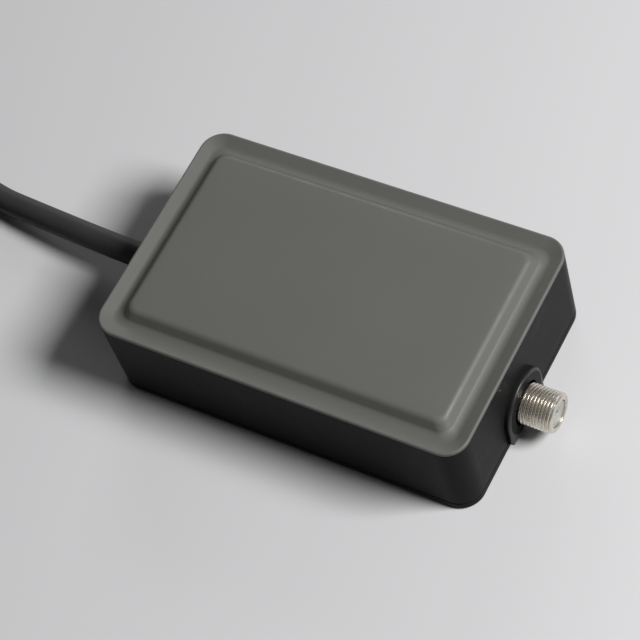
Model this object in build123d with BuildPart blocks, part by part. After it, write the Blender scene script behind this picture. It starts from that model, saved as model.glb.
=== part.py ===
from build123d import *
import math
import os

os.makedirs("parts", exist_ok=True)

# A small amplifier for an indoor television aerial: a flat black housing under a grey lid,
# a threaded aerial jack at one end and a captive coaxial lead at the other.
# +X points out of the jack, -X along the lead, +Y is the side with the power inlet and +Z is up.
# The origin is the middle of the flat underside. Lengths are millimetres.

# Housing
length = 92.0
width = 57.6
lip_height = 25.2
corner_radius = 5.5
wall = 2.0
base_thickness = 2.4
base_round = 0.8
seam_chamfer = 0.25
fit_gap = 0.15
cut_over = 1.0

# Lid
lid_edge = 0.8
lid_plug_depth = 2.1
lip_land = 0.9
lip_outer_round = 0.5
crease_inset = 3.1
crease_drop = 1.1
crease_round = 1.0
crease_band = 0.1
crease_corner = 2.8
plateau_inset = 6.2
plateau_rise = 1.5
plateau_corner = 2.6
plateau_round = 3.2
pocket_inset = 8.4
pocket_corner = 2.0
lid_skin = 1.8

# Posts and cover screws
post_inset = 7.4
post_radius = 3.2
post_gap = 0.1
boss_radius = 3.5
boss_height = 2.1
cover_pilot_radius = 1.3
cover_pilot_depth = 11.0
cover_shank_radius = 1.25
cover_shank_length = 12.0
cover_head_radius = 2.8
cover_head_height = 1.6
cover_head_round = 0.3
counterbore_radius = 3.1
counterbore_depth = 2.0
cover_hole_radius = 1.6
recess_length = 3.2
recess_width = 0.7
recess_depth = 0.9

# Locating rib of the bottom cover
rib_thickness = 1.4
rib_height = 1.6
rib_side_gap = 0.5

# Circuit board and its seats
board_lift = 3.9
board_thickness = 1.6
board_end_gap = 2.5
board_clamp_gap = 0.6
board_side_gap = 3.8
board_post_gap = 0.5
standoff_x_share = 0.61
standoff_y_share = 0.625
standoff_radius = 2.5
board_pilot_radius = 0.95
board_pilot_depth = 4.5
board_hole_radius = 1.2
board_shank_radius = 0.85
board_shank_length = 5.6
board_head_radius = 2.1
board_head_height = 1.4

# Aerial jack
jack_y = -3.0
jack_tail_radius = 0.5
jack_thread_radius = 4.76
jack_thread_depth = 0.42
jack_thread_pitch = 0.794
jack_thread_turns = 8
jack_thread_crest = 0.3
jack_neck_radius = 4.4
jack_hole_gap = 0.5
jack_reach = 9.4
jack_tip_land = 0.5
jack_flange_thickness = 2.0
jack_flange_width = 9.6
jack_flange_half_height = 5.8
jack_flange_gap = 0.2
jack_bore_radius = 3.3
jack_tail_hole_radius = 2.2
jack_prong_width = 1.5
jack_prong_height = 1.1
jack_prong_length = 5.0
arch_radius = 8.0
arch_proud = 1.5
arch_round = 0.5
insulator_radius = 3.25
insulator_recess = 0.4
insulator_front = 1.2
insulator_tail_radius = 2.15
contact_hole_radius = 0.65
contact_gap = 0.05
contact_radius = 1.1
contact_bore_radius = 0.55
contact_bore_depth = 7.0
contact_tail_length = 5.0

# Power inlet in the back wall
inlet_x_share = -0.196
inlet_body_width = 9.0
inlet_body_height = 11.0
inlet_body_length = 13.0
inlet_body_gap = 0.2
inlet_axis_lift = 6.5
inlet_nose_radius = 4.0
inlet_nose_recess = 0.2
inlet_hole_gap = 0.2
inlet_bore_radius = 3.0
inlet_bore_depth = 9.5
inlet_pin_radius = 1.0
inlet_pin_length = 8.5
inlet_pin_seat = 2.0
inlet_spring_thickness = 0.4
inlet_spring_width = 2.4
inlet_spring_length = 6.5
inlet_spring_gap = 0.02
inlet_tab_thickness = 0.4
inlet_tab_width = 2.2
inlet_tab_length = 1.8
inlet_tab_inset = 2.4

# Coaxial cable, its grommet and its clamp
cable_y = -0.5
cable_radius = 3.05
braid_radius = 2.25
dielectric_radius = 1.85
conductor_radius = 0.4
cable_tail_end = 6.6
braid_end = 9.6
dielectric_end = 12.7
conductor_end = 16.2
grommet_flange_radius = 5.2
grommet_flange_thickness = 0.9
grommet_flange_round = 0.4
grommet_neck_radius = 4.0
grommet_hole_gap = 0.05
grommet_back_radius = 5.0
grommet_back_thickness = 1.0
grommet_bore_gap = 0.05
strap_width = 2.2
strap_length = 4.2
strap_thickness = 0.7
board_notch_gap = 0.4
clamp_inset = 2.2
clamp_length = 4.0
clamp_half_width = 6.6
clamp_screw_offset = 5.0
clamp_seat_gap = 0.05
clamp_split = 0.3
clamp_bridge = 1.9
clamp_shank_radius = 0.9
clamp_shank_length = 8.4
clamp_hole_radius = 1.1
clamp_pilot_radius = 0.95
clamp_pilot_depth = 5.2
clamp_head_radius = 1.7
clamp_head_height = 1.3
clamp_edge_round = 0.4

# Parts on the board
shield_length = 30.0
shield_width = 24.0
shield_height = 5.5
shield_wall = 0.3
shield_x_share = 0.19
shield_y_share = -0.043
shield_lid_gap = 0.05
shield_lid_skirt = 1.6
shield_vent_radius = 0.8
shield_vent_pitch = 5.0
shield_vent_columns = 4
shield_vent_rows = 3
chip_body = 4.5
chip_height = 1.5
chip_lead_width = 0.4
chip_lead_length = 0.7
chip_lead_thickness = 0.3
chip_lead_pitch = 1.1
chip_lead_count = 4
regulator_length = 6.5
regulator_width = 3.5
regulator_height = 1.7
regulator_lead_width = 0.7
regulator_tab_width = 3.0
regulator_lead_length = 1.6
regulator_lead_thickness = 0.3
regulator_lead_pitch = 2.3
regulator_x_share = -0.44
regulator_y_share = 0.17
capacitor_radius = 3.15
capacitor_height = 10.6
capacitor_round = 0.5
capacitor_groove_height = 1.6
capacitor_groove_depth = 0.25
capacitor_groove_width = 0.8
capacitor_x_share = -0.2
capacitor_y_shares = (0.7, 0.28)
diode_length = 4.3
diode_width = 2.6
diode_height = 2.2
diode_lead_width = 1.5
diode_lead_length = 0.5
diode_lead_thickness = 0.3
diode_x_share = -0.72
diode_y_share = 0.36
choke_side = 7.0
choke_height = 4.0
choke_corner = 1.2
choke_top_radius = 2.6
choke_top_depth = 0.4
choke_x_share = -0.3
choke_y_share = -0.26
transformer_length = 6.0
transformer_width = 4.6
transformer_height = 4.0
transformer_bore_radius = 0.8
transformer_bore_pitch = 2.2
transformer_x_share = -0.36
transformer_y_share = -0.74
small_length = 2.0
small_width = 1.25
small_capacitor_height = 1.1
small_resistor_height = 0.6
small_end = 0.35
small_end_wrap = 0.05
board_capacitor_shares = ((-0.5, -0.05), (-0.5, -0.3), (-0.56, -0.55), (-0.1, -0.75))
shield_capacitor_shares = ((-0.68, 0.74), (-0.68, -0.6), (-0.26, 0.74), (-0.26, -0.6))
board_resistor_shares = ((-0.66, -0.22), (-0.66, -0.5), (0.82, 0.5))
shield_resistor_shares = ((-0.47, 0.74), (-0.47, -0.6), (-1.2, 0.215))

# Plug on the far end of the lead, lying beside the coil
plug_back = (-149.0, 23.05)
plug_axis_height = 6.5
sleeve_radius = 4.1
sleeve_length = 13.0
sleeve_round = 0.5
sleeve_groove_depth = 0.35
sleeve_groove_width = 0.6
sleeve_groove_pitch = 1.2
sleeve_groove_count = 5
sleeve_groove_start = 3.0
collar_gap = 0.25
nut_across_flats = 11.1
nut_length = 8.5
nut_back_wall = 1.5
nut_bore_radius = 4.35
nut_chamfer = 0.6
nut_running_gap = 0.05
post_neck_radius = 3.5
post_flange_radius = 4.1
post_flange_thickness = 1.0
post_bore_gap = 0.05
plug_dielectric_depth = 9.0
plug_pin_past_nut = 1.4
pin_cone = 0.3

# Lead: a stretch from the housing, a coil of the spare length and a stretch to the plug
lead_points = [
    (-60.0, -0.5, 8.3),
    (-85.0, 2.3, 5.5),
    (-102.0, 4.9, 3.05),
    (-114.06, 9.76, 3.05),
]
tail_first_run = 10.5
tail_points = [
    (-128.2, 20.8, 8.5),
    (-138.5, 23.05, 6.5),
]
fillet_share = 0.45
coil_radius = 37.1
coil_pitch = 6.65
coil_layer_height = 6.65
coil_end_angle = 45.0
coil_turns = 4
coil_quarters = 16
coil_tail = 6.1

# Heights and places that follow from the sizes above
housing_top = lip_height - lid_edge
plug_bottom = housing_top - lid_plug_depth
plateau_top = lip_height + plateau_rise
pocket_ceiling = plateau_top - lid_skin
boss_top = base_thickness + boss_height
post_bottom = boss_top + post_gap
post_x = length / 2 - post_inset
post_y = width / 2 - post_inset
post_places = [(x, y) for x in (-post_x, post_x) for y in (-post_y, post_y)]
inner_x = length / 2 - wall
inner_y = width / 2 - wall
rib_outer = wall + fit_gap
rib_inner = rib_outer + rib_thickness

board_bottom = base_thickness + board_lift
board_top = board_bottom + board_thickness
jack_z = board_top + jack_tail_radius
cable_z = board_top + conductor_radius
cable_exit_x = -length / 2 - grommet_flange_thickness
clamp_left = -inner_x + clamp_inset
clamp_right = clamp_left + clamp_length
board_left = clamp_right + board_clamp_gap
board_right = inner_x - board_end_gap
board_x = (board_left + board_right) / 2
board_length = board_right - board_left
board_y = inner_y - board_side_gap
standoff_x = standoff_x_share * length / 2
standoff_y = standoff_y_share * width / 2
standoff_places = [(x, y) for x in (-standoff_x, standoff_x) for y in (-standoff_y, standoff_y)]

# Main housing, a ring of walls with an arched boss round the jack
with BuildPart() as main_housing:
    with BuildSketch(Plane.XY.offset(base_thickness)):
        RectangleRounded(length, width, corner_radius)
    extrude(amount=housing_top - base_thickness)
    seams = main_housing.faces().filter_by(Axis.Z)
    chamfer(seams.edges(), seam_chamfer)
    with BuildSketch(Plane.YZ.offset(length / 2 - wall / 2)):
        with Locations((jack_y, jack_z)):
            Circle(arch_radius)
        with Locations((jack_y, base_thickness)):
            Rectangle(2 * arch_radius, jack_z - base_thickness, align=(Align.CENTER, Align.MIN))
            Rectangle(
                2 * arch_radius,
                jack_z - base_thickness + arch_radius,
                align=(Align.CENTER, Align.MIN),
                mode=Mode.INTERSECT,
            )
    extrude(amount=wall / 2 + arch_proud)
    arch_edges = main_housing.faces().sort_by(Axis.X)[-1].edges().sort_by(Axis.Z)
    fillet(arch_edges[1:], arch_round)
    with BuildSketch(Plane.XY.offset(base_thickness)):
        RectangleRounded(2 * inner_x, 2 * inner_y, corner_radius - wall)
    extrude(amount=housing_top - base_thickness, mode=Mode.SUBTRACT)
    with BuildSketch(Plane.YZ.offset(inner_x - cut_over)):
        with Locations((jack_y, jack_z)):
            Circle(jack_thread_radius + jack_hole_gap)
    extrude(amount=wall + arch_proud + 2 * cut_over, mode=Mode.SUBTRACT)
    with BuildSketch(Plane.YZ.offset(-length / 2 - cut_over)):
        with Locations((cable_y, cable_z)):
            Circle(grommet_neck_radius + grommet_hole_gap)
    extrude(amount=wall + 2 * cut_over, mode=Mode.SUBTRACT)
    with BuildSketch(Plane.XZ.offset(-(inner_y - cut_over))):
        with Locations((inlet_x_share * length, board_top + inlet_axis_lift)):
            Circle(inlet_nose_radius + inlet_hole_gap)
    extrude(amount=-(wall + 2 * cut_over), mode=Mode.SUBTRACT)
main_housing.part.label = "main_housing"
export_step(main_housing.part, "parts/main_housing.step")

# Bottom cover with its locating rib, screw bosses, board standoffs and cable cradle
with BuildPart() as bottom_cover:
    with BuildSketch():
        RectangleRounded(length, width, corner_radius)
    extrude(amount=base_thickness)
    fillet(bottom_cover.faces().sort_by(Axis.Z)[0].edges(), base_round)
    chamfer(bottom_cover.faces().sort_by(Axis.Z)[-1].edges(), seam_chamfer)
    with BuildSketch(Plane.XY.offset(base_thickness)):
        RectangleRounded(length - 2 * rib_outer, width - 2 * rib_outer, corner_radius - rib_outer)
        RectangleRounded(
            length - 2 * rib_inner,
            width - 2 * rib_inner,
            corner_radius - rib_inner,
            mode=Mode.SUBTRACT,
        )
        with Locations((inner_x, jack_y)):
            Rectangle(
                2 * rib_inner, jack_flange_width + 2 * rib_side_gap, mode=Mode.SUBTRACT
            )
        with Locations((-inner_x, cable_y)):
            Rectangle(
                2 * rib_inner, 2 * (grommet_back_radius + rib_side_gap), mode=Mode.SUBTRACT
            )
    extrude(amount=rib_height)
    with BuildSketch(Plane.XY.offset(base_thickness)):
        with Locations(*post_places):
            Circle(boss_radius)
    extrude(amount=boss_height)
    with BuildSketch(Plane.XY.offset(base_thickness)):
        with Locations(*standoff_places):
            Circle(standoff_radius)
    extrude(amount=board_lift)
    with BuildSketch(Plane.XY.offset(base_thickness)):
        with Locations(((clamp_left + clamp_right) / 2, cable_y)):
            Rectangle(clamp_length, 2 * clamp_half_width)
    extrude(amount=cable_z - clamp_split - base_thickness)
    with BuildSketch(Plane.YZ.offset(clamp_left - cut_over)):
        with Locations((cable_y, cable_z)):
            Circle(cable_radius + clamp_seat_gap)
    extrude(amount=clamp_length + 2 * cut_over, mode=Mode.SUBTRACT)
    with Locations(*[(x, y, board_bottom) for x, y in standoff_places]):
        Hole(board_pilot_radius, board_pilot_depth)
    with Locations(
        *[
            ((clamp_left + clamp_right) / 2, cable_y + side * clamp_screw_offset, cable_z - clamp_split)
            for side in (-1, 1)
        ]
    ):
        Hole(clamp_pilot_radius, clamp_pilot_depth)
    with Locations(*[Plane(origin=(x, y, 0), z_dir=(0, 0, -1)) for x, y in post_places]):
        CounterBoreHole(
            cover_hole_radius, counterbore_radius, counterbore_depth, boss_top + cut_over
        )
bottom_cover.part.label = "bottom_cover"
export_step(bottom_cover.part, "parts/bottom_cover.step")

# Lid: a lip at the outer edge, a rim that dips to a crease, and a raised flat plateau
with BuildPart() as top_cover:
    with BuildSketch(Plane.XY.offset(plug_bottom)):
        RectangleRounded(length - 2 * rib_outer, width - 2 * rib_outer, corner_radius - rib_outer)
    extrude(amount=lid_plug_depth)
    with BuildSketch(Plane.XY.offset(housing_top)):
        RectangleRounded(length, width, corner_radius)
    extrude(amount=lid_edge)
    fillet(top_cover.faces().sort_by(Axis.Z)[-1].edges(), lip_outer_round)
    with BuildSketch(Plane.XY.offset(lip_height)):
        RectangleRounded(length - 2 * lip_land, width - 2 * lip_land, corner_radius - lip_land)
    with BuildSketch(Plane.XY.offset(lip_height - crease_drop)):
        RectangleRounded(length - 2 * crease_inset, width - 2 * crease_inset, crease_corner)
    loft(mode=Mode.SUBTRACT)
    with BuildSketch(Plane.XY.offset(lip_height - crease_drop)):
        RectangleRounded(length - 2 * crease_inset, width - 2 * crease_inset, crease_corner)
    with BuildSketch(Plane.XY.offset(plateau_top)):
        RectangleRounded(length - 2 * plateau_inset, width - 2 * plateau_inset, plateau_corner)
    loft()
    fillet(top_cover.faces().sort_by(Axis.Z)[-1].edges(), plateau_round)
    crease_edges = top_cover.edges().filter_by_position(
        Axis.Z,
        lip_height - crease_drop - crease_band,
        lip_height - crease_drop + crease_band,
    )
    fillet(crease_edges, crease_round)
    with BuildSketch(Plane.XY.offset(plug_bottom)):
        RectangleRounded(length - 2 * pocket_inset, width - 2 * pocket_inset, pocket_corner)
    extrude(amount=pocket_ceiling - plug_bottom, mode=Mode.SUBTRACT)
    with BuildSketch(Plane.XY.offset(post_bottom)):
        with Locations(*post_places):
            Circle(post_radius)
    extrude(amount=(plug_bottom + pocket_ceiling) / 2 - post_bottom)
    with Locations(*[Plane(origin=(x, y, post_bottom), z_dir=(0, 0, -1)) for x, y in post_places]):
        Hole(cover_pilot_radius, cover_pilot_depth)
top_cover.part.label = "top_cover"
export_step(top_cover.part, "parts/top_cover.step")

# Screws that come up through the bottom cover into the posts of the lid
with BuildPart() as cover_screws:
    with BuildSketch(Plane.XY.offset(counterbore_depth - cover_head_height)):
        with Locations(*post_places):
            Circle(cover_head_radius)
    extrude(amount=cover_head_height)
    fillet(cover_screws.edges().group_by(Axis.Z)[0], cover_head_round)
    with BuildSketch(Plane.XY.offset(counterbore_depth)):
        with Locations(*post_places):
            Circle(cover_shank_radius)
    extrude(amount=cover_shank_length)
    with BuildSketch(Plane.XY.offset(counterbore_depth - cover_head_height)):
        with Locations(*post_places):
            Rectangle(recess_length, recess_width)
            Rectangle(recess_width, recess_length)
    extrude(amount=recess_depth, mode=Mode.SUBTRACT)
cover_screws.part.label = "cover_screws"
export_step(cover_screws.part, "parts/cover_screws.step")

# Circuit board, notched round the posts and for the end of the cable
with BuildPart() as circuit_board:
    with BuildSketch(Plane.XY.offset(board_bottom)):
        with Locations((board_x, 0)):
            Rectangle(board_length, 2 * board_y)
        with Locations(*post_places):
            Circle(post_radius + board_post_gap, mode=Mode.SUBTRACT)
        with Locations(*standoff_places):
            Circle(board_hole_radius, mode=Mode.SUBTRACT)
        with Locations((board_left, cable_y)):
            Rectangle(
                2 * (dielectric_end - (board_left + inner_x) + board_notch_gap),
                2 * (braid_radius + board_notch_gap),
                mode=Mode.SUBTRACT,
            )
    extrude(amount=board_thickness)
circuit_board.part.label = "circuit_board"
export_step(circuit_board.part, "parts/circuit_board.step")

# Screws that hold the board on its standoffs
with BuildPart() as board_screws:
    with BuildSketch(Plane.XY.offset(board_top)):
        with Locations(*standoff_places):
            Circle(board_head_radius)
    extrude(amount=board_head_height)
    fillet(board_screws.edges().group_by(Axis.Z)[-1], cover_head_round)
    with BuildSketch(Plane.XY.offset(board_top)):
        with Locations(*standoff_places):
            Circle(board_shank_radius)
    extrude(amount=-board_shank_length)
    with BuildSketch(Plane.XY.offset(board_top + board_head_height)):
        with Locations(*standoff_places):
            Rectangle(recess_length, recess_width)
            Rectangle(recess_width, recess_length)
    extrude(amount=-recess_depth, mode=Mode.SUBTRACT)
board_screws.part.label = "board_screws"
export_step(board_screws.part, "parts/board_screws.step")

# Aerial jack: a turned barrel with its thread, a square flange and prongs that grip the board
jack_axis = Axis((0, jack_y, jack_z), (1, 0, 0))
jack_plane = Plane(origin=(0, jack_y, jack_z), x_dir=(1, 0, 0), z_dir=(0, -1, 0))
jack_tip = length / 2 + jack_reach
jack_flange_front = inner_x - jack_flange_gap
jack_flange_back = jack_flange_front - jack_flange_thickness
thread_front = jack_tip - jack_tip_land
thread_points = [(jack_tip, jack_thread_radius - jack_thread_depth)]
for turn in range(jack_thread_turns + 1):
    crest_front = thread_front - turn * jack_thread_pitch
    crest_back = crest_front - jack_thread_crest
    root = (crest_back + crest_front - jack_thread_pitch) / 2
    thread_points.append((crest_front, jack_thread_radius))
    thread_points.append((crest_back, jack_thread_radius))
    thread_points.append((root, jack_thread_radius - jack_thread_depth))
thread_points.append((root, jack_neck_radius))

with BuildPart() as f_jack_body:
    with BuildSketch(jack_plane):
        with BuildLine():
            Polyline(
                *thread_points,
                (jack_flange_front, jack_neck_radius),
                (jack_flange_front, jack_bore_radius),
                (jack_tip, jack_bore_radius),
                close=True,
            )
        make_face()
    revolve(axis=jack_axis)
    with BuildSketch(Plane.YZ.offset(jack_flange_back)):
        with Locations((jack_y, jack_z)):
            Rectangle(jack_flange_width, 2 * jack_flange_half_height)
            Circle(jack_tail_hole_radius, mode=Mode.SUBTRACT)
    extrude(amount=jack_flange_thickness)
    with BuildSketch(Plane.YZ.offset(jack_flange_back)):
        for side in (-1, 1):
            prong_y = jack_y + side * (jack_flange_width - jack_prong_width) / 2
            with Locations((prong_y, board_top + jack_prong_height / 2)):
                Rectangle(jack_prong_width, jack_prong_height)
            with Locations((prong_y, board_bottom - jack_prong_height / 2)):
                Rectangle(jack_prong_width, jack_prong_height)
    extrude(amount=-jack_prong_length)
f_jack_body.part.label = "f_jack_body"
export_step(f_jack_body.part, "parts/f_jack_body.step")

# Insulator inside the jack
insulator_tip = jack_tip - insulator_recess
with BuildPart() as f_jack_insulator:
    with BuildSketch(jack_plane):
        with BuildLine():
            Polyline(
                (insulator_tip, contact_hole_radius),
                (insulator_tip, insulator_radius),
                (jack_flange_front + contact_gap, insulator_radius),
                (jack_flange_front + contact_gap, insulator_tail_radius),
                (jack_flange_back, insulator_tail_radius),
                (jack_flange_back, jack_tail_radius + contact_gap),
                (jack_flange_front, jack_tail_radius + contact_gap),
                (jack_flange_front, contact_radius + contact_gap),
                (insulator_tip - insulator_front, contact_radius + contact_gap),
                (insulator_tip - insulator_front, contact_hole_radius),
                close=True,
            )
        make_face()
    revolve(axis=jack_axis)
f_jack_insulator.part.label = "f_jack_insulator"
export_step(f_jack_insulator.part, "parts/f_jack_insulator.step")

# Contact of the jack: a tube that grips the pin of a plug, and a tail soldered to the board
contact_front = insulator_tip - insulator_front - contact_gap
with BuildPart() as f_jack_contact:
    with BuildSketch(Plane.YZ.offset(jack_flange_front + contact_gap)):
        with Locations((jack_y, jack_z)):
            Circle(contact_radius)
    extrude(amount=contact_front - jack_flange_front - contact_gap)
    with BuildSketch(Plane.YZ.offset(contact_front)):
        with Locations((jack_y, jack_z)):
            Circle(contact_bore_radius)
    extrude(amount=-contact_bore_depth, mode=Mode.SUBTRACT)
    with BuildSketch(Plane.YZ.offset(jack_flange_front + contact_gap)):
        with Locations((jack_y, jack_z)):
            Circle(jack_tail_radius)
    extrude(amount=-(jack_flange_thickness + contact_gap + contact_tail_length))
f_jack_contact.part.label = "f_jack_contact"
export_step(f_jack_contact.part, "parts/f_jack_contact.step")

# Power inlet: a moulded body with its barrel socket, a centre pin, a spring and solder tabs
inlet_x = inlet_x_share * length
inlet_z = board_top + inlet_axis_lift
inlet_front = inner_y - inlet_body_gap
inlet_back = inlet_front - inlet_body_length
inlet_nose = width / 2 - inlet_nose_recess
inlet_floor = inlet_nose - inlet_bore_depth
spring_radius = inlet_bore_radius - inlet_spring_gap

with BuildPart() as dc_jack_housing:
    with BuildSketch(Plane.XY.offset(board_top)):
        with Locations((inlet_x, inlet_back)):
            Rectangle(inlet_body_width, inlet_body_length, align=(Align.CENTER, Align.MIN))
    extrude(amount=inlet_body_height)
    with BuildSketch(Plane.XZ.offset(-inlet_front)):
        with Locations((inlet_x, inlet_z)):
            Circle(inlet_nose_radius)
    extrude(amount=-(inlet_nose - inlet_front))
    with BuildSketch(Plane.XZ.offset(-inlet_floor)):
        with Locations((inlet_x, inlet_z)):
            Circle(inlet_bore_radius)
    extrude(amount=-(inlet_bore_depth + cut_over), mode=Mode.SUBTRACT)
    with BuildSketch(Plane.XZ.offset(-inlet_floor)):
        with Locations((inlet_x, inlet_z)):
            Circle(inlet_pin_radius)
    extrude(amount=inlet_pin_seat, mode=Mode.SUBTRACT)
dc_jack_housing.part.label = "dc_jack_housing"
export_step(dc_jack_housing.part, "parts/dc_jack_housing.step")

with BuildPart() as dc_jack_pin:
    with BuildSketch(Plane.XZ.offset(-(inlet_floor - inlet_pin_seat))):
        with Locations((inlet_x, inlet_z)):
            Circle(inlet_pin_radius)
    extrude(amount=-(inlet_pin_seat + inlet_pin_length))
    fillet(dc_jack_pin.edges().sort_by(Axis.Y)[-1], inlet_pin_radius / 2)
dc_jack_pin.part.label = "dc_jack_pin"
export_step(dc_jack_pin.part, "parts/dc_jack_pin.step")

with BuildPart() as dc_jack_spring:
    with BuildSketch(Plane.XZ.offset(-(inlet_floor + inlet_spring_gap))):
        with Locations((inlet_x, inlet_z)):
            Circle(spring_radius)
            Circle(spring_radius - inlet_spring_thickness, mode=Mode.SUBTRACT)
        with Locations((inlet_x, inlet_z)):
            Rectangle(
                inlet_spring_width,
                2 * inlet_bore_radius,
                align=(Align.CENTER, Align.MAX),
                mode=Mode.INTERSECT,
            )
    extrude(amount=-inlet_spring_length)
dc_jack_spring.part.label = "dc_jack_spring"
export_step(dc_jack_spring.part, "parts/dc_jack_spring.step")

with BuildPart() as dc_jack_terminals:
    with BuildSketch(Plane.XY.offset(board_top)):
        for side in (-1, 1):
            tab_x = inlet_x + side * (inlet_body_width + inlet_tab_length) / 2
            with Locations(
                (tab_x, inlet_back + inlet_tab_inset), (tab_x, board_y - inlet_tab_inset)
            ):
                Rectangle(inlet_tab_length, inlet_tab_width)
    extrude(amount=inlet_tab_thickness)
dc_jack_terminals.part.label = "dc_jack_terminals"
export_step(dc_jack_terminals.part, "parts/dc_jack_terminals.step")

# Rubber grommet in the end wall
with BuildPart() as cable_grommet:
    with BuildSketch(Plane.YZ.offset(cable_exit_x)):
        with Locations((cable_y, cable_z)):
            Circle(grommet_flange_radius)
    extrude(amount=grommet_flange_thickness)
    fillet(cable_grommet.edges().sort_by(Axis.X)[0], grommet_flange_round)
    with BuildSketch(Plane.YZ.offset(-length / 2)):
        with Locations((cable_y, cable_z)):
            Circle(grommet_neck_radius)
    extrude(amount=wall)
    with BuildSketch(Plane.YZ.offset(-inner_x)):
        with Locations((cable_y, cable_z)):
            Circle(grommet_back_radius)
    extrude(amount=grommet_back_thickness)
    with BuildSketch(Plane.YZ.offset(cable_exit_x)):
        with Locations((cable_y, cable_z)):
            Circle(cable_radius + grommet_bore_gap)
    extrude(
        amount=grommet_flange_thickness + wall + grommet_back_thickness, mode=Mode.SUBTRACT
    )
cable_grommet.part.label = "cable_grommet"
export_step(cable_grommet.part, "parts/cable_grommet.step")

# End of the cable inside the housing, stripped back in steps
with BuildPart() as cable_jacket_end:
    with BuildSketch(Plane.YZ.offset(cable_exit_x)):
        with Locations((cable_y, cable_z)):
            Circle(cable_radius)
            Circle(braid_radius, mode=Mode.SUBTRACT)
    extrude(amount=-cable_exit_x - inner_x + cable_tail_end)
cable_jacket_end.part.label = "cable_jacket_end"
export_step(cable_jacket_end.part, "parts/cable_jacket_end.step")

with BuildPart() as cable_braid:
    with BuildSketch(Plane.YZ.offset(cable_exit_x)):
        with Locations((cable_y, cable_z)):
            Circle(braid_radius)
    extrude(amount=-cable_exit_x - inner_x + braid_end)
    with BuildSketch(Plane.XY.offset(board_top)):
        with Locations((-inner_x + braid_end, cable_y)):
            Rectangle(
                strap_width,
                braid_radius + board_notch_gap + strap_length,
                align=(Align.MAX, Align.MAX),
            )
    extrude(amount=strap_thickness)
    with BuildSketch(Plane.YZ.offset(cable_exit_x)):
        with Locations((cable_y, cable_z)):
            Circle(dielectric_radius)
    extrude(amount=-cable_exit_x - inner_x + braid_end, mode=Mode.SUBTRACT)
cable_braid.part.label = "cable_braid"
export_step(cable_braid.part, "parts/cable_braid.step")

with BuildPart() as cable_dielectric:
    with BuildSketch(Plane.YZ.offset(cable_exit_x)):
        with Locations((cable_y, cable_z)):
            Circle(dielectric_radius)
            Circle(conductor_radius, mode=Mode.SUBTRACT)
    extrude(amount=-cable_exit_x - inner_x + dielectric_end)
cable_dielectric.part.label = "cable_dielectric"
export_step(cable_dielectric.part, "parts/cable_dielectric.step")

with BuildPart() as cable_conductor:
    with BuildSketch(Plane.YZ.offset(cable_exit_x)):
        with Locations((cable_y, cable_z)):
            Circle(conductor_radius)
    extrude(amount=-cable_exit_x - inner_x + conductor_end)
cable_conductor.part.label = "cable_conductor"
export_step(cable_conductor.part, "parts/cable_conductor.step")

# Clamp bar that presses the cable into its cradle, and its two screws
clamp_bottom = cable_z + clamp_split
clamp_top = cable_z + cable_radius + clamp_seat_gap + clamp_bridge
clamp_screw_places = [
    ((clamp_left + clamp_right) / 2, cable_y + side * clamp_screw_offset) for side in (-1, 1)
]
with BuildPart() as cable_clamp:
    with BuildSketch(Plane.XY.offset(clamp_bottom)):
        with Locations(((clamp_left + clamp_right) / 2, cable_y)):
            Rectangle(clamp_length, 2 * clamp_half_width)
    extrude(amount=clamp_top - clamp_bottom)
    fillet(
        cable_clamp.faces().sort_by(Axis.Z)[-1].edges().filter_by(Axis.X), clamp_edge_round
    )
    with BuildSketch(Plane.YZ.offset(clamp_left - cut_over)):
        with Locations((cable_y, cable_z)):
            Circle(cable_radius + clamp_seat_gap)
    extrude(amount=clamp_length + 2 * cut_over, mode=Mode.SUBTRACT)
    with Locations(*[(x, y, clamp_top) for x, y in clamp_screw_places]):
        Hole(clamp_hole_radius, clamp_top - clamp_bottom + cut_over)
cable_clamp.part.label = "cable_clamp"
export_step(cable_clamp.part, "parts/cable_clamp.step")

with BuildPart() as clamp_screws:
    with BuildSketch(Plane.XY.offset(clamp_top)):
        with Locations(*clamp_screw_places):
            Circle(clamp_head_radius)
    extrude(amount=clamp_head_height)
    fillet(clamp_screws.edges().group_by(Axis.Z)[-1], cover_head_round)
    with BuildSketch(Plane.XY.offset(clamp_top)):
        with Locations(*clamp_screw_places):
            Circle(clamp_shank_radius)
    extrude(amount=-clamp_shank_length)
    with BuildSketch(Plane.XY.offset(clamp_top + clamp_head_height)):
        with Locations(*clamp_screw_places):
            Rectangle(clamp_head_radius, recess_width)
            Rectangle(recess_width, clamp_head_radius)
    extrude(amount=-recess_depth, mode=Mode.SUBTRACT)
clamp_screws.part.label = "clamp_screws"
export_step(clamp_screws.part, "parts/clamp_screws.step")

# Shield over the amplifier stage: a soldered frame and a lid pressed over it
shield_x = board_x + shield_x_share * board_length
shield_y = shield_y_share * 2 * board_y
with BuildPart() as shield_frame:
    with BuildSketch(Plane.XY.offset(board_top)):
        with Locations((shield_x, shield_y)):
            Rectangle(shield_length, shield_width)
            Rectangle(
                shield_length - 2 * shield_wall,
                shield_width - 2 * shield_wall,
                mode=Mode.SUBTRACT,
            )
            Rectangle(shield_wall, shield_width)
    extrude(amount=shield_height)
shield_frame.part.label = "shield_frame"
export_step(shield_frame.part, "parts/shield_frame.step")

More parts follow.
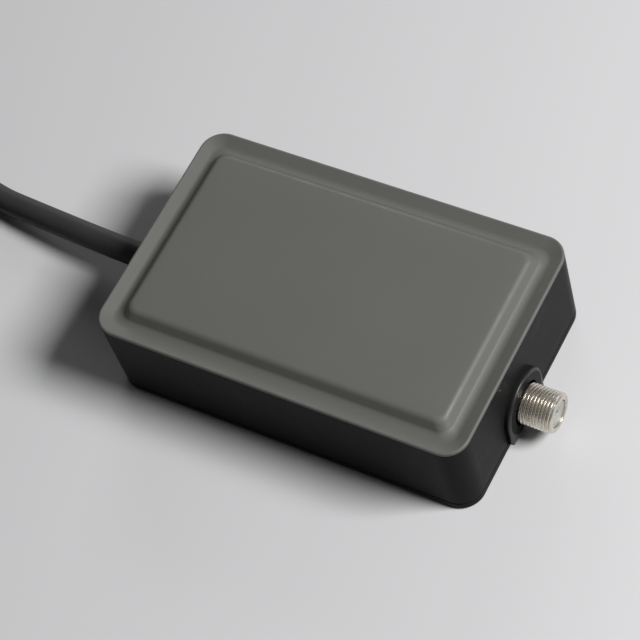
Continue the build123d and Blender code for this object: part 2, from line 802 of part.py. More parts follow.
shield_top = board_top + shield_height
shield_lid_margin = shield_lid_gap + shield_wall
with BuildPart() as shield_lid:
    with BuildSketch(Plane.XY.offset(shield_top - shield_lid_skirt)):
        with Locations((shield_x, shield_y)):
            Rectangle(shield_length + 2 * shield_lid_margin, shield_width + 2 * shield_lid_margin)
    extrude(amount=shield_lid_skirt + shield_wall)
    with BuildSketch(Plane.XY.offset(shield_top - shield_lid_skirt)):
        with Locations((shield_x, shield_y)):
            Rectangle(shield_length + 2 * shield_lid_gap, shield_width + 2 * shield_lid_gap)
    extrude(amount=shield_lid_skirt, mode=Mode.SUBTRACT)
    with BuildSketch(Plane.XY.offset(shield_top)):
        with Locations((shield_x, shield_y)):
            with GridLocations(
                shield_vent_pitch, shield_vent_pitch, shield_vent_columns, shield_vent_rows
            ):
                Circle(shield_vent_radius)
    extrude(amount=shield_wall, mode=Mode.SUBTRACT)
shield_lid.part.label = "shield_lid"
export_step(shield_lid.part, "parts/shield_lid.step")

# Amplifier chip with its leads, in the half of the shield beside the jack
chip_x = shield_x + shield_length / 4
with BuildPart() as amplifier_chip:
    with BuildSketch(Plane.XY.offset(board_top)):
        with Locations((chip_x, shield_y)):
            Rectangle(chip_body, chip_body)
    extrude(amount=chip_height)
    with BuildSketch(Plane.XY.offset(board_top)):
        with Locations((chip_x, shield_y)):
            with GridLocations(0, chip_lead_pitch, 1, chip_lead_count):
                Rectangle(chip_body + 2 * chip_lead_length, chip_lead_width)
    extrude(amount=chip_lead_thickness)
amplifier_chip.part.label = "amplifier_chip"
export_step(amplifier_chip.part, "parts/amplifier_chip.step")

# Voltage regulator beside the power inlet
regulator_x = board_x + regulator_x_share * board_length / 2
regulator_y = regulator_y_share * board_y
with BuildPart() as voltage_regulator:
    with BuildSketch(Plane.XY.offset(board_top)):
        with Locations((regulator_x, regulator_y)):
            Rectangle(regulator_length, regulator_width)
    extrude(amount=regulator_height)
    chamfer(voltage_regulator.edges().group_by(Axis.Z)[-1], regulator_lead_thickness)
    with BuildSketch(Plane.XY.offset(board_top)):
        with Locations((regulator_x, regulator_y)):
            with GridLocations(regulator_lead_pitch, 0, 3, 1):
                Rectangle(
                    regulator_lead_width,
                    regulator_width / 2 + regulator_lead_length,
                    align=(Align.CENTER, Align.MAX),
                )
            Rectangle(
                regulator_tab_width,
                regulator_width / 2 + regulator_lead_length,
                align=(Align.CENTER, Align.MIN),
            )
    extrude(amount=regulator_lead_thickness)
voltage_regulator.part.label = "voltage_regulator"
export_step(voltage_regulator.part, "parts/voltage_regulator.step")

# Electrolytic capacitors, with the crimp groove near their foot
capacitor_x = board_x + capacitor_x_share * board_length / 2
with BuildPart() as electrolytic_capacitors:
    with BuildSketch(Plane.XY.offset(board_top)):
        with Locations(*[(capacitor_x, share * board_y) for share in capacitor_y_shares]):
            Circle(capacitor_radius)
    extrude(amount=capacitor_height)
    fillet(electrolytic_capacitors.edges().group_by(Axis.Z)[-1], capacitor_round)
    with BuildSketch(Plane.XY.offset(board_top + capacitor_groove_height)):
        with Locations(*[(capacitor_x, share * board_y) for share in capacitor_y_shares]):
            Circle(capacitor_radius)
            Circle(capacitor_radius - capacitor_groove_depth, mode=Mode.SUBTRACT)
    extrude(amount=capacitor_groove_width, mode=Mode.SUBTRACT)
electrolytic_capacitors.part.label = "electrolytic_capacitors"
export_step(electrolytic_capacitors.part, "parts/electrolytic_capacitors.step")

# Polarity diode
diode_x = board_x + diode_x_share * board_length / 2
diode_y = diode_y_share * board_y
with BuildPart() as polarity_diode:
    with BuildSketch(Plane.XY.offset(board_top)):
        with Locations((diode_x, diode_y)):
            Rectangle(diode_length, diode_width)
    extrude(amount=diode_height)
    chamfer(polarity_diode.edges().group_by(Axis.Z)[-1], diode_lead_thickness)
    with BuildSketch(Plane.XY.offset(board_top)):
        with Locations((diode_x, diode_y)):
            Rectangle(diode_length + 2 * diode_lead_length, diode_lead_width)
    extrude(amount=diode_lead_thickness)
polarity_diode.part.label = "polarity_diode"
export_step(polarity_diode.part, "parts/polarity_diode.step")

# Shielded choke of the supply
with BuildPart() as power_choke:
    with BuildSketch(Plane.XY.offset(board_top)):
        with Locations(
            (board_x + choke_x_share * board_length / 2, choke_y_share * board_y)
        ):
            RectangleRounded(choke_side, choke_side, choke_corner)
    extrude(amount=choke_height)
    with BuildSketch(Plane.XY.offset(board_top + choke_height)):
        with Locations(
            (board_x + choke_x_share * board_length / 2, choke_y_share * board_y)
        ):
            Circle(choke_top_radius + choke_top_depth)
            Circle(choke_top_radius, mode=Mode.SUBTRACT)
    extrude(amount=-choke_top_depth, mode=Mode.SUBTRACT)
power_choke.part.label = "power_choke"
export_step(power_choke.part, "parts/power_choke.step")

# Matching transformer, a ferrite block with two bores
transformer_x = board_x + transformer_x_share * board_length / 2
with BuildPart() as matching_transformer:
    with BuildSketch(Plane.XY.offset(board_top)):
        with Locations((transformer_x, transformer_y_share * board_y)):
            Rectangle(transformer_length, transformer_width)
    extrude(amount=transformer_height)
    with BuildSketch(Plane.YZ.offset(transformer_x - transformer_length / 2)):
        with Locations((transformer_y_share * board_y, board_top + transformer_height / 2)):
            with GridLocations(transformer_bore_pitch, 0, 2, 1):
                Circle(transformer_bore_radius)
    extrude(amount=transformer_length, mode=Mode.SUBTRACT)
matching_transformer.part.label = "matching_transformer"
export_step(matching_transformer.part, "parts/matching_transformer.step")

# Chip capacitors and chip resistors, each a body between two end caps. Some have their place on
# the board, and some in or beside the shield.
def places_on_board(shares):
    return [(board_x + x * board_length / 2, y * board_y) for x, y in shares]


def places_by_shield(shares):
    return [(shield_x + x * shield_length / 2, shield_y + y * shield_width / 2) for x, y in shares]


capacitor_places = places_on_board(board_capacitor_shares)
capacitor_places += places_by_shield(shield_capacitor_shares)
with BuildPart() as chip_capacitors:
    with BuildSketch(Plane.XY.offset(board_top)):
        with Locations(*capacitor_places):
            Rectangle(small_length, small_width)
    extrude(amount=small_capacitor_height)
    with BuildSketch(Plane.XY.offset(board_top)):
        with Locations(*capacitor_places):
            Rectangle(small_length + 2 * small_end_wrap, small_width + 2 * small_end_wrap)
            Rectangle(
                small_length - 2 * small_end,
                small_width + 2 * small_end_wrap,
                mode=Mode.SUBTRACT,
            )
    extrude(amount=small_capacitor_height + small_end_wrap)
chip_capacitors.part.label = "chip_capacitors"
export_step(chip_capacitors.part, "parts/chip_capacitors.step")

resistor_places = places_on_board(board_resistor_shares)
resistor_places += places_by_shield(shield_resistor_shares)
with BuildPart() as chip_resistors:
    with BuildSketch(Plane.XY.offset(board_top)):
        with Locations(*resistor_places):
            Rectangle(small_length, small_width)
    extrude(amount=small_resistor_height)
    with BuildSketch(Plane.XY.offset(board_top)):
        with Locations(*resistor_places):
            Rectangle(small_length + 2 * small_end_wrap, small_width + 2 * small_end_wrap)
            Rectangle(
                small_length - 2 * small_end,
                small_width + 2 * small_end_wrap,
                mode=Mode.SUBTRACT,
            )
    extrude(amount=small_resistor_height + small_end_wrap)
chip_resistors.part.label = "chip_resistors"
export_step(chip_resistors.part, "parts/chip_resistors.step")

# Plug: a sleeve with a hollow post, a coupling nut that turns on the post, and the pin
plug_axis = Axis((plug_back[0], plug_back[1], plug_axis_height), (-1, 0, 0))
plug_plane = Plane(
    origin=(plug_back[0], plug_back[1], plug_axis_height), x_dir=(-1, 0, 0), z_dir=(0, 1, 0)
)
nut_back = sleeve_length + collar_gap
nut_front = nut_back + nut_length
post_flange_back = nut_back + nut_back_wall + collar_gap
post_front = post_flange_back + post_flange_thickness
post_bore_radius = dielectric_radius + post_bore_gap
sleeve_points = [(0, 0), (0, sleeve_radius)]
for groove in range(sleeve_groove_count):
    groove_x = sleeve_groove_start + groove * sleeve_groove_pitch
    sleeve_points.append((groove_x, sleeve_radius))
    sleeve_points.append((groove_x, sleeve_radius - sleeve_groove_depth))
    sleeve_points.append((groove_x + sleeve_groove_width, sleeve_radius - sleeve_groove_depth))
    sleeve_points.append((groove_x + sleeve_groove_width, sleeve_radius))

with BuildPart() as plug_sleeve:
    with BuildSketch(plug_plane):
        with BuildLine():
            Polyline(
                *sleeve_points,
                (sleeve_length, sleeve_radius),
                (sleeve_length, post_neck_radius),
                (post_flange_back, post_neck_radius),
                (post_flange_back, post_flange_radius),
                (post_front, post_flange_radius),
                (post_front, post_bore_radius),
                (post_front - plug_dielectric_depth, post_bore_radius),
                (post_front - plug_dielectric_depth, 0),
                close=True,
            )
        make_face()
    revolve(axis=plug_axis)
    fillet(plug_sleeve.edges().sort_by(Axis.X)[-1], sleeve_round)
plug_sleeve.part.label = "plug_sleeve"
export_step(plug_sleeve.part, "parts/plug_sleeve.step")

with BuildPart() as plug_nut:
    with BuildSketch(Plane.YZ.offset(plug_back[0] - nut_back)):
        with Locations((plug_back[1], plug_axis_height)):
            RegularPolygon(nut_across_flats / 2, 6, major_radius=False)
            Circle(post_neck_radius + nut_running_gap, mode=Mode.SUBTRACT)
    extrude(amount=-nut_length)
    with BuildSketch(Plane.YZ.offset(plug_back[0] - nut_back - nut_back_wall)):
        with Locations((plug_back[1], plug_axis_height)):
            Circle(nut_bore_radius)
    extrude(amount=-(nut_length - nut_back_wall), mode=Mode.SUBTRACT)
    chamfer(plug_nut.faces().sort_by(Axis.X)[0].inner_wires()[0].edges(), nut_chamfer / 2)
    with BuildSketch(plug_plane):
        with BuildLine():
            Polyline(
                (nut_back, nut_across_flats / 2),
                (nut_back + nut_chamfer, nut_across_flats / 2 + 2 * nut_chamfer),
                (nut_front - nut_chamfer, nut_across_flats / 2 + 2 * nut_chamfer),
                (nut_front, nut_across_flats / 2),
                (nut_front, 0),
                (nut_back, 0),
                close=True,
            )
        make_face()
    revolve(axis=plug_axis, mode=Mode.INTERSECT)
plug_nut.part.label = "plug_nut"
export_step(plug_nut.part, "parts/plug_nut.step")

with BuildPart() as plug_dielectric:
    with BuildSketch(Plane.YZ.offset(plug_back[0] - post_front)):
        with Locations((plug_back[1], plug_axis_height)):
            Circle(dielectric_radius)
            Circle(conductor_radius, mode=Mode.SUBTRACT)
    extrude(amount=plug_dielectric_depth)
plug_dielectric.part.label = "plug_dielectric"
export_step(plug_dielectric.part, "parts/plug_dielectric.step")

with BuildPart() as plug_pin:
    with BuildSketch(Plane.YZ.offset(plug_back[0] - nut_front - plug_pin_past_nut)):
        with Locations((plug_back[1], plug_axis_height)):
            Circle(conductor_radius)
    extrude(amount=nut_front + plug_pin_past_nut - post_front + plug_dielectric_depth)
    chamfer(plug_pin.edges().sort_by(Axis.X)[0], pin_cone)
plug_pin.part.label = "plug_pin"
export_step(plug_pin.part, "parts/plug_pin.step")


# Routes of the lead, as points in space with the largest arc at each corner
def corner_radii(points):
    radii = []
    for before, here, after in zip(points, points[1:], points[2:]):
        first = Vector(*here) - Vector(*before)
        second = Vector(*after) - Vector(*here)
        turn = math.radians(first.get_angle(second))
        shorter = min(first.length, second.length)
        radii.append(fillet_share * shorter / math.tan(turn / 2))
    return radii


def polar(angle, radius, height):
    """A point of the coil, by its angle in degrees."""
    return Vector(
        coil_centre.X + radius * math.cos(math.radians(angle)),
        coil_centre.Y + radius * math.sin(math.radians(angle)),
        height,
    )


def heading(angle, climb=0.0):
    """The way that the coil runs at an angle, with its climb per unit of length."""
    return Vector(-math.sin(math.radians(angle)), math.cos(math.radians(angle)), climb).normalized()


def middle_of_biarc(start, start_way, end, end_way):
    """Where two tangent arcs from start to end meet, and the way that they run there."""
    span = end - start
    ways = start_way + end_way
    spread = 2 * (1 - start_way.dot(end_way))
    reach = (-span.dot(ways) + math.sqrt(span.dot(ways) ** 2 + spread * span.dot(span))) / spread
    first = start + start_way * reach
    second = end - end_way * reach
    return (first + second) / 2, (second - first).normalized()


lead_route = [(cable_exit_x, cable_y, cable_z)] + lead_points
coil_start = Vector(*lead_points[-1])
coil_start_way = coil_start - Vector(*lead_points[-2])
coil_start_angle = math.degrees(math.atan2(coil_start_way.Y, coil_start_way.X)) - 90
ring_start = coil_start + heading(coil_start_angle) * coil_tail
coil_centre = ring_start - Vector(
    coil_radius * math.cos(math.radians(coil_start_angle)),
    coil_radius * math.sin(math.radians(coil_start_angle)),
    0,
)
coil_sweep = 360 * coil_turns + coil_end_angle - coil_start_angle
coil_step = coil_sweep / coil_quarters
reversal = coil_quarters // 2
reversal_radius = coil_radius - coil_pitch * coil_step / 360 * reversal
climb = coil_layer_height / (math.radians(coil_step) * reversal_radius)

# One knot at each quarter turn: the spiral runs in, climbs a layer where it turns back, and runs out
knots = []
for knot in range(coil_quarters + 1):
    angle = coil_start_angle + knot * coil_step
    inward = coil_pitch * coil_step / 360 * (reversal - abs(reversal - knot))
    lift = coil_layer_height * min(max((knot - reversal + 1) / 2, 0), 1)
    drift = 0 if knot in (0, reversal, coil_quarters) else math.copysign(
        coil_pitch / (2 * math.pi * (coil_radius - inward)), reversal - knot
    )
    outward = Vector(math.cos(math.radians(angle)), math.sin(math.radians(angle)), 0)
    way = (heading(angle, climb if knot == reversal else 0.0) - outward * drift).normalized()
    knots.append((polar(angle, coil_radius - inward, coil_start.Z + lift), way))
coil_end = knots[-1][0] + knots[-1][1] * coil_tail
plug_start = Vector(plug_back[0], plug_back[1], plug_axis_height)
tail_bend = coil_end + knots[-1][1] * tail_first_run
tail_route = [tuple(coil_end), tuple(tail_bend)] + tail_points + [tuple(plug_start)]

with BuildPart() as coax_lead:
    with BuildLine() as lead_line:
        FilletPolyline(*lead_route, radius=corner_radii(lead_route))
    with BuildSketch(Plane(origin=lead_line.line @ 0, z_dir=lead_line.line % 0)):
        Circle(cable_radius)
    sweep()
coax_lead.part.label = "coax_lead"
export_step(coax_lead.part, "parts/coax_lead.step")

with BuildPart() as coax_coil:
    with BuildLine() as coil_line:
        Line(coil_start, ring_start)
        for (start, start_way), (end, end_way) in zip(knots, knots[1:]):
            middle, middle_way = middle_of_biarc(start, start_way, end, end_way)
            TangentArc(start, middle, tangent=start_way)
            TangentArc(middle, end, tangent=middle_way)
        Line(knots[-1][0], coil_end)
    with BuildSketch(Plane(origin=coil_line.line @ 0, z_dir=coil_line.line % 0)):
        Circle(cable_radius)
    sweep()
coax_coil.part.label = "coax_coil"
export_step(coax_coil.part, "parts/coax_coil.step")

with BuildPart() as coax_tail:
    with BuildLine() as tail_line:
        FilletPolyline(*tail_route, radius=corner_radii(tail_route))
    with BuildSketch(Plane(origin=tail_line.line @ 0, z_dir=tail_line.line % 0)):
        Circle(cable_radius)
    sweep()
coax_tail.part.label = "coax_tail"
export_step(coax_tail.part, "parts/coax_tail.step")

# What the lead measures
section = math.pi * cable_radius**2


def run_length(line):
    return sum(edge.length for edge in line.edges())


for name, piece, line in (
    ("coax_lead", coax_lead, lead_line.line),
    ("coax_coil", coax_coil, coil_line.line),
    ("coax_tail", coax_tail, tail_line.line),
):
    share = piece.part.volume / section / run_length(line)
    print(name, "length", round(run_length(line), 1), "volume share", round(share, 5))
print("lead radii", [round(r, 1) for r in corner_radii(lead_route)])
print("tail radii", [round(r, 1) for r in corner_radii(tail_route)])
total = sum(run_length(line) for line in (lead_line.line, coil_line.line, tail_line.line))
print("cord length", round(total + cable_tail_end + wall + grommet_flange_thickness, 1))
print("coil centre", coil_centre, "inner radius", round(reversal_radius, 2))

# Least gap of the coil to itself, on points a small step apart, leaving out each point's own turn
samples = 900
points = [coil_line.line @ (i / samples) for i in range(samples + 1)]
apart = math.ceil(math.pi * cable_radius / (run_length(coil_line.line) / samples)) * 2
least = min(
    (points[i] - points[j]).length
    for i in range(samples + 1)
    for j in range(i + apart, samples + 1)
)
print("least gap of the coil to itself", round(least - 2 * cable_radius, 2))
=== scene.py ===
import math

import bmesh
import bpy
from mathutils import Matrix, Vector


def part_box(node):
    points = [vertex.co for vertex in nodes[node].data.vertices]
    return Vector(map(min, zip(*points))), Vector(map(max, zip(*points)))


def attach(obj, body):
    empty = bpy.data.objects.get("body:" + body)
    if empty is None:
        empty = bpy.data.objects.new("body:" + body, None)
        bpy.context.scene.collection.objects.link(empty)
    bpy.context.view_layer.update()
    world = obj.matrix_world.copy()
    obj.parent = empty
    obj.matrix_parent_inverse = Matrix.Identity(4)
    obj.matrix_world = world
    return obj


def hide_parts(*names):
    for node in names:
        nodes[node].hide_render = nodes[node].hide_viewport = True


# A small aerial amplifier: a flat black housing under a grey lid, a threaded jack at one end
# and a captive coaxial lead at the other. The lid, the jack's turned parts and the lead are
# modelled here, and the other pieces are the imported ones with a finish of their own.
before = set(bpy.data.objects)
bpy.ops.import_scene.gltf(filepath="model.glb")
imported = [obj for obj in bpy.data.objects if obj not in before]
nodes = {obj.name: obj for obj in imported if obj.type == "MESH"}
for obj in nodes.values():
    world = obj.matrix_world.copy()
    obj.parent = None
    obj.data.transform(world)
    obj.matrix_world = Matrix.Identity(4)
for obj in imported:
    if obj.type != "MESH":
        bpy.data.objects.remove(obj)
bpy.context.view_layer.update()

mm = 0.001
length = 92.0 * mm
width = 57.6 * mm
housing_top = 24.4 * mm
lip_height = 25.2 * mm
plateau_top = 26.7 * mm
board_top = 7.9 * mm
board_thickness = 1.6 * mm
pin_pitch = 2.54 * mm

# The jack and the lead lie along X, each at its own Y and Z. An arch stands round the jack.
jack_middle = (-3.0 * mm, 8.4 * mm)
cable_middle = (-0.5 * mm, 8.3 * mm)
arch_radius = 8.0 * mm
arch_round = 0.5 * mm

# Meshes: points nearer than these distances become one, and edges that turn by more than the
# crease angle stay sharp
merge_distance = 0.0005 * mm
cut_merge_distance = 0.003 * mm
crease_angle = math.radians(30)

# Camera, at the angle of the photograph
camera_azimuth = math.radians(45.12)
camera_elevation = math.radians(56.56)
camera_roll = math.radians(-20.64)
camera_offset = Vector((-6.61, 5.40, 544.47)) * mm
camera_lens = 134.0
camera_sensor = 36.0


def place_camera():
    """Looks at the housing from the photograph's angle. The offset is to the right, up and back."""
    back = Vector(
        (
            math.sin(camera_azimuth) * math.cos(camera_elevation),
            -math.cos(camera_azimuth) * math.cos(camera_elevation),
            math.sin(camera_elevation),
        )
    )
    level = Vector((math.cos(camera_azimuth), math.sin(camera_azimuth), 0))
    upright = back.cross(level)
    turn, lean = math.cos(camera_roll), math.sin(camera_roll)
    across = level * turn + upright * lean
    up = upright * turn - level * lean
    data = bpy.data.cameras.new("camera")
    data.lens = camera_lens
    data.sensor_width = camera_sensor
    data.clip_start = 0.01
    camera = bpy.data.objects.new("camera", data)
    bpy.context.scene.collection.objects.link(camera)
    place = across * camera_offset.x + up * camera_offset.y + back * camera_offset.z
    facing = Matrix((across, up, back)).transposed().to_4x4()
    camera.matrix_world = Matrix.Translation(place) @ facing
    bpy.context.scene.camera = camera


place_camera()


# Shader maths
def add_node(tree, kind, settings=None, sockets=None, output=0):
    """Adds a node, with its settings first and then the values or links of its sockets."""
    made = tree.nodes.new(kind)
    for name, value in (settings or {}).items():
        setattr(made, name, value)
    for key, value in (sockets or {}).items():
        if isinstance(value, Value):
            tree.links.new(value.socket, made.inputs[key])
        else:
            made.inputs[key].default_value = value
    return Value(made.outputs[output])


class Value:
    """A socket of a material. Arithmetic on it adds Math nodes, and node() adds any other node."""

    def __init__(self, socket):
        self.socket = socket
        self.tree = socket.id_data

    def node(self, kind, settings=None, sockets=None, output=0):
        """Any node in the same material."""
        return add_node(self.tree, kind, settings, sockets, output)

    def math(self, operation, *others):
        """A Math node on this and the others."""
        terms = dict(enumerate((self, *others)))
        return self.node("ShaderNodeMath", {"operation": operation}, terms)

    def __add__(self, other):
        return self.math("ADD", other)

    __radd__ = __add__

    def __sub__(self, other):
        return self.math("SUBTRACT", other)

    def __rsub__(self, other):
        return (self * -1.0).math("ADD", other)

    def __mul__(self, other):
        return self.math("MULTIPLY", other)

    __rmul__ = __mul__

    def __truediv__(self, other):
        return self.math("DIVIDE", other)

    def step(self, low, high):
        """0 below low, 1 above high and smooth between."""
        sockets = {"Value": self, "From Min": low, "From Max": high}
        return self.node("ShaderNodeMapRange", {"interpolation_type": "SMOOTHSTEP"}, sockets)

    def band(self, start, full, fade, end):
        """0 below start and above end, 1 from full to fade and smooth between."""
        return self.step(start, full) * (1.0 - self.step(fade, end))

    def axes(self):
        """The three parts of a vector."""
        return [self.node("ShaderNodeSeparateXYZ", None, {0: self}, axis) for axis in "XYZ"]

    def mix(self, first, second):
        """The first colour where this is 0, and the second where it is 1."""
        return self.node("ShaderNodeMix", {"data_type": "RGBA"}, {0: self, 6: first, 7: second}, 2)

    def tint(self, colour):
        """A colour made lighter or darker by this."""
        source = colour if isinstance(colour, Value) else colour[:3]
        return self.node("ShaderNodeVectorMath", {"operation": "SCALE"}, {0: source, "Scale": self})

    def noise(self, size, detail=2.0, rough=0.5, stretch=(1, 1, 1)):
        """Cloudy noise round 0.5, on these coordinates, with features about size metres wide."""
        scaled = self.node("ShaderNodeMapping", None, {"Vector": self, "Scale": stretch})
        sockets = {"Vector": scaled, "Scale": 1 / size, "Detail": detail, "Roughness": rough}
        return self.node("ShaderNodeTexNoise", None, sockets, "Fac")

    def cells(self, size, output="Distance"):
        """Distance to the middle of the nearest of many cells, or another output of theirs."""
        return self.node("ShaderNodeTexVoronoi", None, {"Vector": self, "Scale": 1 / size}, output)


class Finish:
    """A material, with its main shader and the coordinates that its patterns read."""

    def __init__(self, name):
        self.material = bpy.data.materials.new(name)
        self.material.use_nodes = True
        self.tree = self.material.node_tree
        self.shader = self.tree.nodes["Principled BSDF"]
        coordinates = self.tree.nodes.new("ShaderNodeTexCoord")
        self.place = Value(coordinates.outputs["Object"])
        self.wrap = Value(coordinates.outputs["UV"])

    def set(self, **sockets):
        """Gives values or links to the main shader's sockets, named with _ for a space."""
        for name, value in sockets.items():
            socket = self.shader.inputs[name.replace("_", " ")]
            if isinstance(value, Value):
                self.tree.links.new(value.socket, socket)
            else:
                socket.default_value = value
        return self

    def relief(self, height, depth):
        """Bump whose full height is depth metres."""
        bump = height.node("ShaderNodeBump", None, {"Height": height, "Distance": depth}, "Normal")
        self.tree.links.new(bump.socket, self.shader.inputs["Normal"])
        return self


def rgb(red, green, blue):
    """An opaque colour."""
    return (red, green, blue, 1.0)


# Finishes
def housing_finish():
    """Black plastic from a fine spark-eroded mould. The round edge of the arch is polished by use."""
    finish = Finish("housing_plastic")
    x, y, z = finish.place.axes()
    grain = finish.place.noise(0.3 * mm, 3.0, 0.6)
    cloud = finish.place.noise(22 * mm, 2.0)
    rub = finish.place.noise(5 * mm, 3.0, 0.6, (1.0, 0.35, 1.0)).step(0.5, 0.75)
    aside, above = y - jack_middle[0], z - jack_middle[1]
    from_jack = (aside * aside + above * above).math("SQRT")
    flat_radius = arch_radius - arch_round
    proud = x.step(length / 2 + 0.6 * mm, length / 2 + 1.0 * mm)
    arch_edge = from_jack.step(flat_radius - 0.2 * mm, flat_radius) * proud
    tone = 1.0 + (cloud - 0.5) * 0.12 + (grain - 0.5) * 0.16 + rub * 0.06
    finish.set(
        Base_Color=tone.tint(rgb(0.012, 0.012, 0.0124)),
        Roughness=0.38 + (grain - 0.5) * 0.2 - rub * 0.07,
        Specular_IOR_Level=0.03,
        Coat_Weight=arch_edge * 0.8,
        Coat_Roughness=0.38,
    )
    return finish.relief(grain, 0.02 * mm)


def lid_finish():
    """Grey plastic that shines a little where hands rub its lip and the edge of its raised middle."""
    finish = Finish("lid_plastic")
    height = finish.place.axes()[2]
    grain = finish.place.noise(0.3 * mm, 3.0, 0.6)
    cloud = finish.place.noise(22 * mm, 2.0)
    handled = finish.place.noise(6 * mm, 4.0, 0.65).step(0.42, 0.72)
    above_lip, below_top = height - lip_height, plateau_top - height
    lip = above_lip.band(-0.25 * mm, 0.0, 0.05 * mm, 0.3 * mm)
    edge = below_top.band(0.005 * mm, 0.04 * mm, 0.15 * mm, 0.5 * mm)
    rub = (lip + edge) * handled
    tone = 1.0 + (cloud - 0.5) * 0.1 + (grain - 0.5) * 0.2 + rub * 0.1
    finish.set(
        Base_Color=tone.tint(rgb(0.104, 0.106, 0.096)),
        Roughness=0.58 + (grain - 0.5) * 0.2 + (cloud - 0.5) * 0.06 - rub * 0.14,
    )
    return finish.relief(grain, 0.022 * mm)


def turned_metal(name, colour, dull, gloss_loss):
    """Plated metal, turned round the X axis: fine tool lines, a soft tarnish and handling marks."""
    finish = Finish(name)
    lines = finish.place.noise(0.06 * mm, 1.0, 0.5, (1.0, 0.02, 0.02))
    tarnish = finish.place.noise(1.6 * mm, 3.0, 0.6).step(0.4, 0.75)
    marks = finish.place.noise(0.5 * mm, 2.0, 0.6)
    finish.set(
        Base_Color=(tarnish * 0.6 + lines * 0.15).mix(colour, dull),
        Metallic=1.0,
        Roughness=gloss_loss + tarnish * 0.14 + (marks - 0.5) * 0.12,
    )
    return finish.relief(lines, 0.004 * mm)


def rolled_metal(name, colour, dull, gloss_loss):
    """Plated sheet or small hardware: fine brushing, crystal spangle and dulled clouds."""
    finish = Finish(name)
    lines = finish.place.noise(0.08 * mm, 2.0, 0.5, (0.04, 1.0, 1.0))
    spangle = finish.place.cells(1.1 * mm, "Color").axes()[0]
    cloud = finish.place.noise(2.5 * mm, 3.0, 0.6)
    finish.set(
        Base_Color=((spangle - 0.5) * 0.3 + cloud * 0.7).mix(colour, dull),
        Metallic=1.0,
        Roughness=gloss_loss + (cloud - 0.5) * 0.2 + (spangle - 0.5) * 0.08,
    )
    return finish.relief(lines, 0.005 * mm)


def rubber(name, colour, gloss_loss):
    """Soft black rubber with a fine grain and a trace of pale bloom."""
    finish = Finish(name)
    grain = finish.place.noise(0.15 * mm, 3.0, 0.65)
    bloom = finish.place.noise(1.8 * mm, 3.0, 0.6).step(0.45, 0.8)
    finish.set(
        Base_Color=(bloom * 0.35).mix(colour, rgb(0.07, 0.07, 0.068)),
        Roughness=gloss_loss + bloom * 0.1 + (grain - 0.5) * 0.1,
    )
    return finish.relief(grain, 0.02 * mm)


def jacket_finish():
    """Extruded cable jacket: faint lines along its length, slow waves and a few scuffs."""
    finish = Finish("cable_jacket")
    lines = finish.wrap.noise(1.0, 2.0, 0.5, (3.0, 60.0, 1.0))
    waves = finish.place.noise(7 * mm, 2.0)
    scuff = finish.place.noise(0.9 * mm, 4.0, 0.7).step(0.58, 0.8)
    tone = 1.0 + (waves - 0.5) * 0.25 + (lines - 0.5) * 0.2
    finish.set(
        Base_Color=(scuff * 0.3).mix(tone.tint(rgb(0.042, 0.042, 0.044)), rgb(0.08, 0.08, 0.078)),
        Roughness=0.42 + (waves - 0.5) * 0.12 + scuff * 0.12,
        Specular_IOR_Level=0.1,
    )
    return finish.relief(lines * 0.5 + waves, 0.05 * mm)


def strap_finish():
    """Black nylon tape with short loops, painted lighter as a painted glint where they catch the light.
    """
    finish = Finish("nylon_tape")
    loops_and_glints = finish.place.cells(0.35 * mm)
    fuzz = finish.place.noise(0.15 * mm, 3.0, 0.7)
    # The loops are painted lighter as a painted glint, and also raised in the relief.
    tone = 0.7 + loops_and_glints * 0.6 + (fuzz - 0.5) * 0.8
    finish.set(Base_Color=tone.tint(rgb(0.022, 0.022, 0.024)), Roughness=0.8 + (fuzz - 0.5) * 0.2)
    return finish.relief(loops_and_glints + fuzz, 0.12 * mm)


def insulator_finish():
    """White plastic, a little clouded."""
    finish = Finish("white_insulator")
    cloud = finish.place.noise(1.2 * mm, 3.0, 0.6)
    grain = finish.place.noise(0.12 * mm, 2.0)
    finish.set(
        Base_Color=cloud.mix(rgb(0.46, 0.46, 0.435), rgb(0.35, 0.35, 0.325)),
        Roughness=0.34 + (grain - 0.5) * 0.15,
    )
    return finish.relief(grain, 0.01 * mm)


def foam_finish():
    """Foamed white dielectric with tiny closed bubbles."""
    finish = Finish("foam_dielectric")
    bubbles = finish.place.cells(0.22 * mm)
    cloud = finish.place.noise(0.8 * mm, 2.0)
    finish.set(
        Base_Color=(1.0 - bubbles * 0.12 - (cloud - 0.5) * 0.08).tint(rgb(0.86, 0.86, 0.84)),
        Roughness=0.62 + (cloud - 0.5) * 0.1,
    )
    return finish.relief(bubbles, 0.03 * mm)


def braid_finish():
    """Woven wire: strands that run round the cable both ways, in baskets that go over and under, with
    painted shade in the valleys where a strand dips under.
    """
    finish = Finish("braid_wire")
    x, y, z = finish.place.axes()
    baskets_round = 16
    basket_length = 0.9 * mm
    angle = (y - cable_middle[0]).math("ARCTAN2", z - cable_middle[1])
    around = angle * (baskets_round / (2 * math.pi))
    along = x / basket_length
    left = (along + around).math("FRACT")
    right = (along - around).math("FRACT")
    strands = ((along + around) * 30.0).math("SINE") * 0.5 + 0.5
    crossing = (left - 0.5).math("ABSOLUTE") - (right - 0.5).math("ABSOLUTE")
    over = crossing.step(-0.1, 0.1)
    valley_and_shade = (left - 0.5).math("ABSOLUTE").step(0.36, 0.5) * over
    cloud = finish.place.noise(0.6 * mm, 2.0)
    finish.set(
        # Where a strand dips under the next it is painted darker, as painted shade in the valley; it is
        # also rougher there and sunk in the relief.
        Base_Color=(valley_and_shade * 0.7 + strands * 0.15).mix(rgb(0.66, 0.65, 0.63), rgb(0.2, 0.19, 0.18)),
        Metallic=1.0,
        Roughness=0.32 + cloud * 0.16 + valley_and_shade * 0.2,
    )
    return finish.relief(over * 0.6 + strands * 0.3 - valley_and_shade, 0.06 * mm)


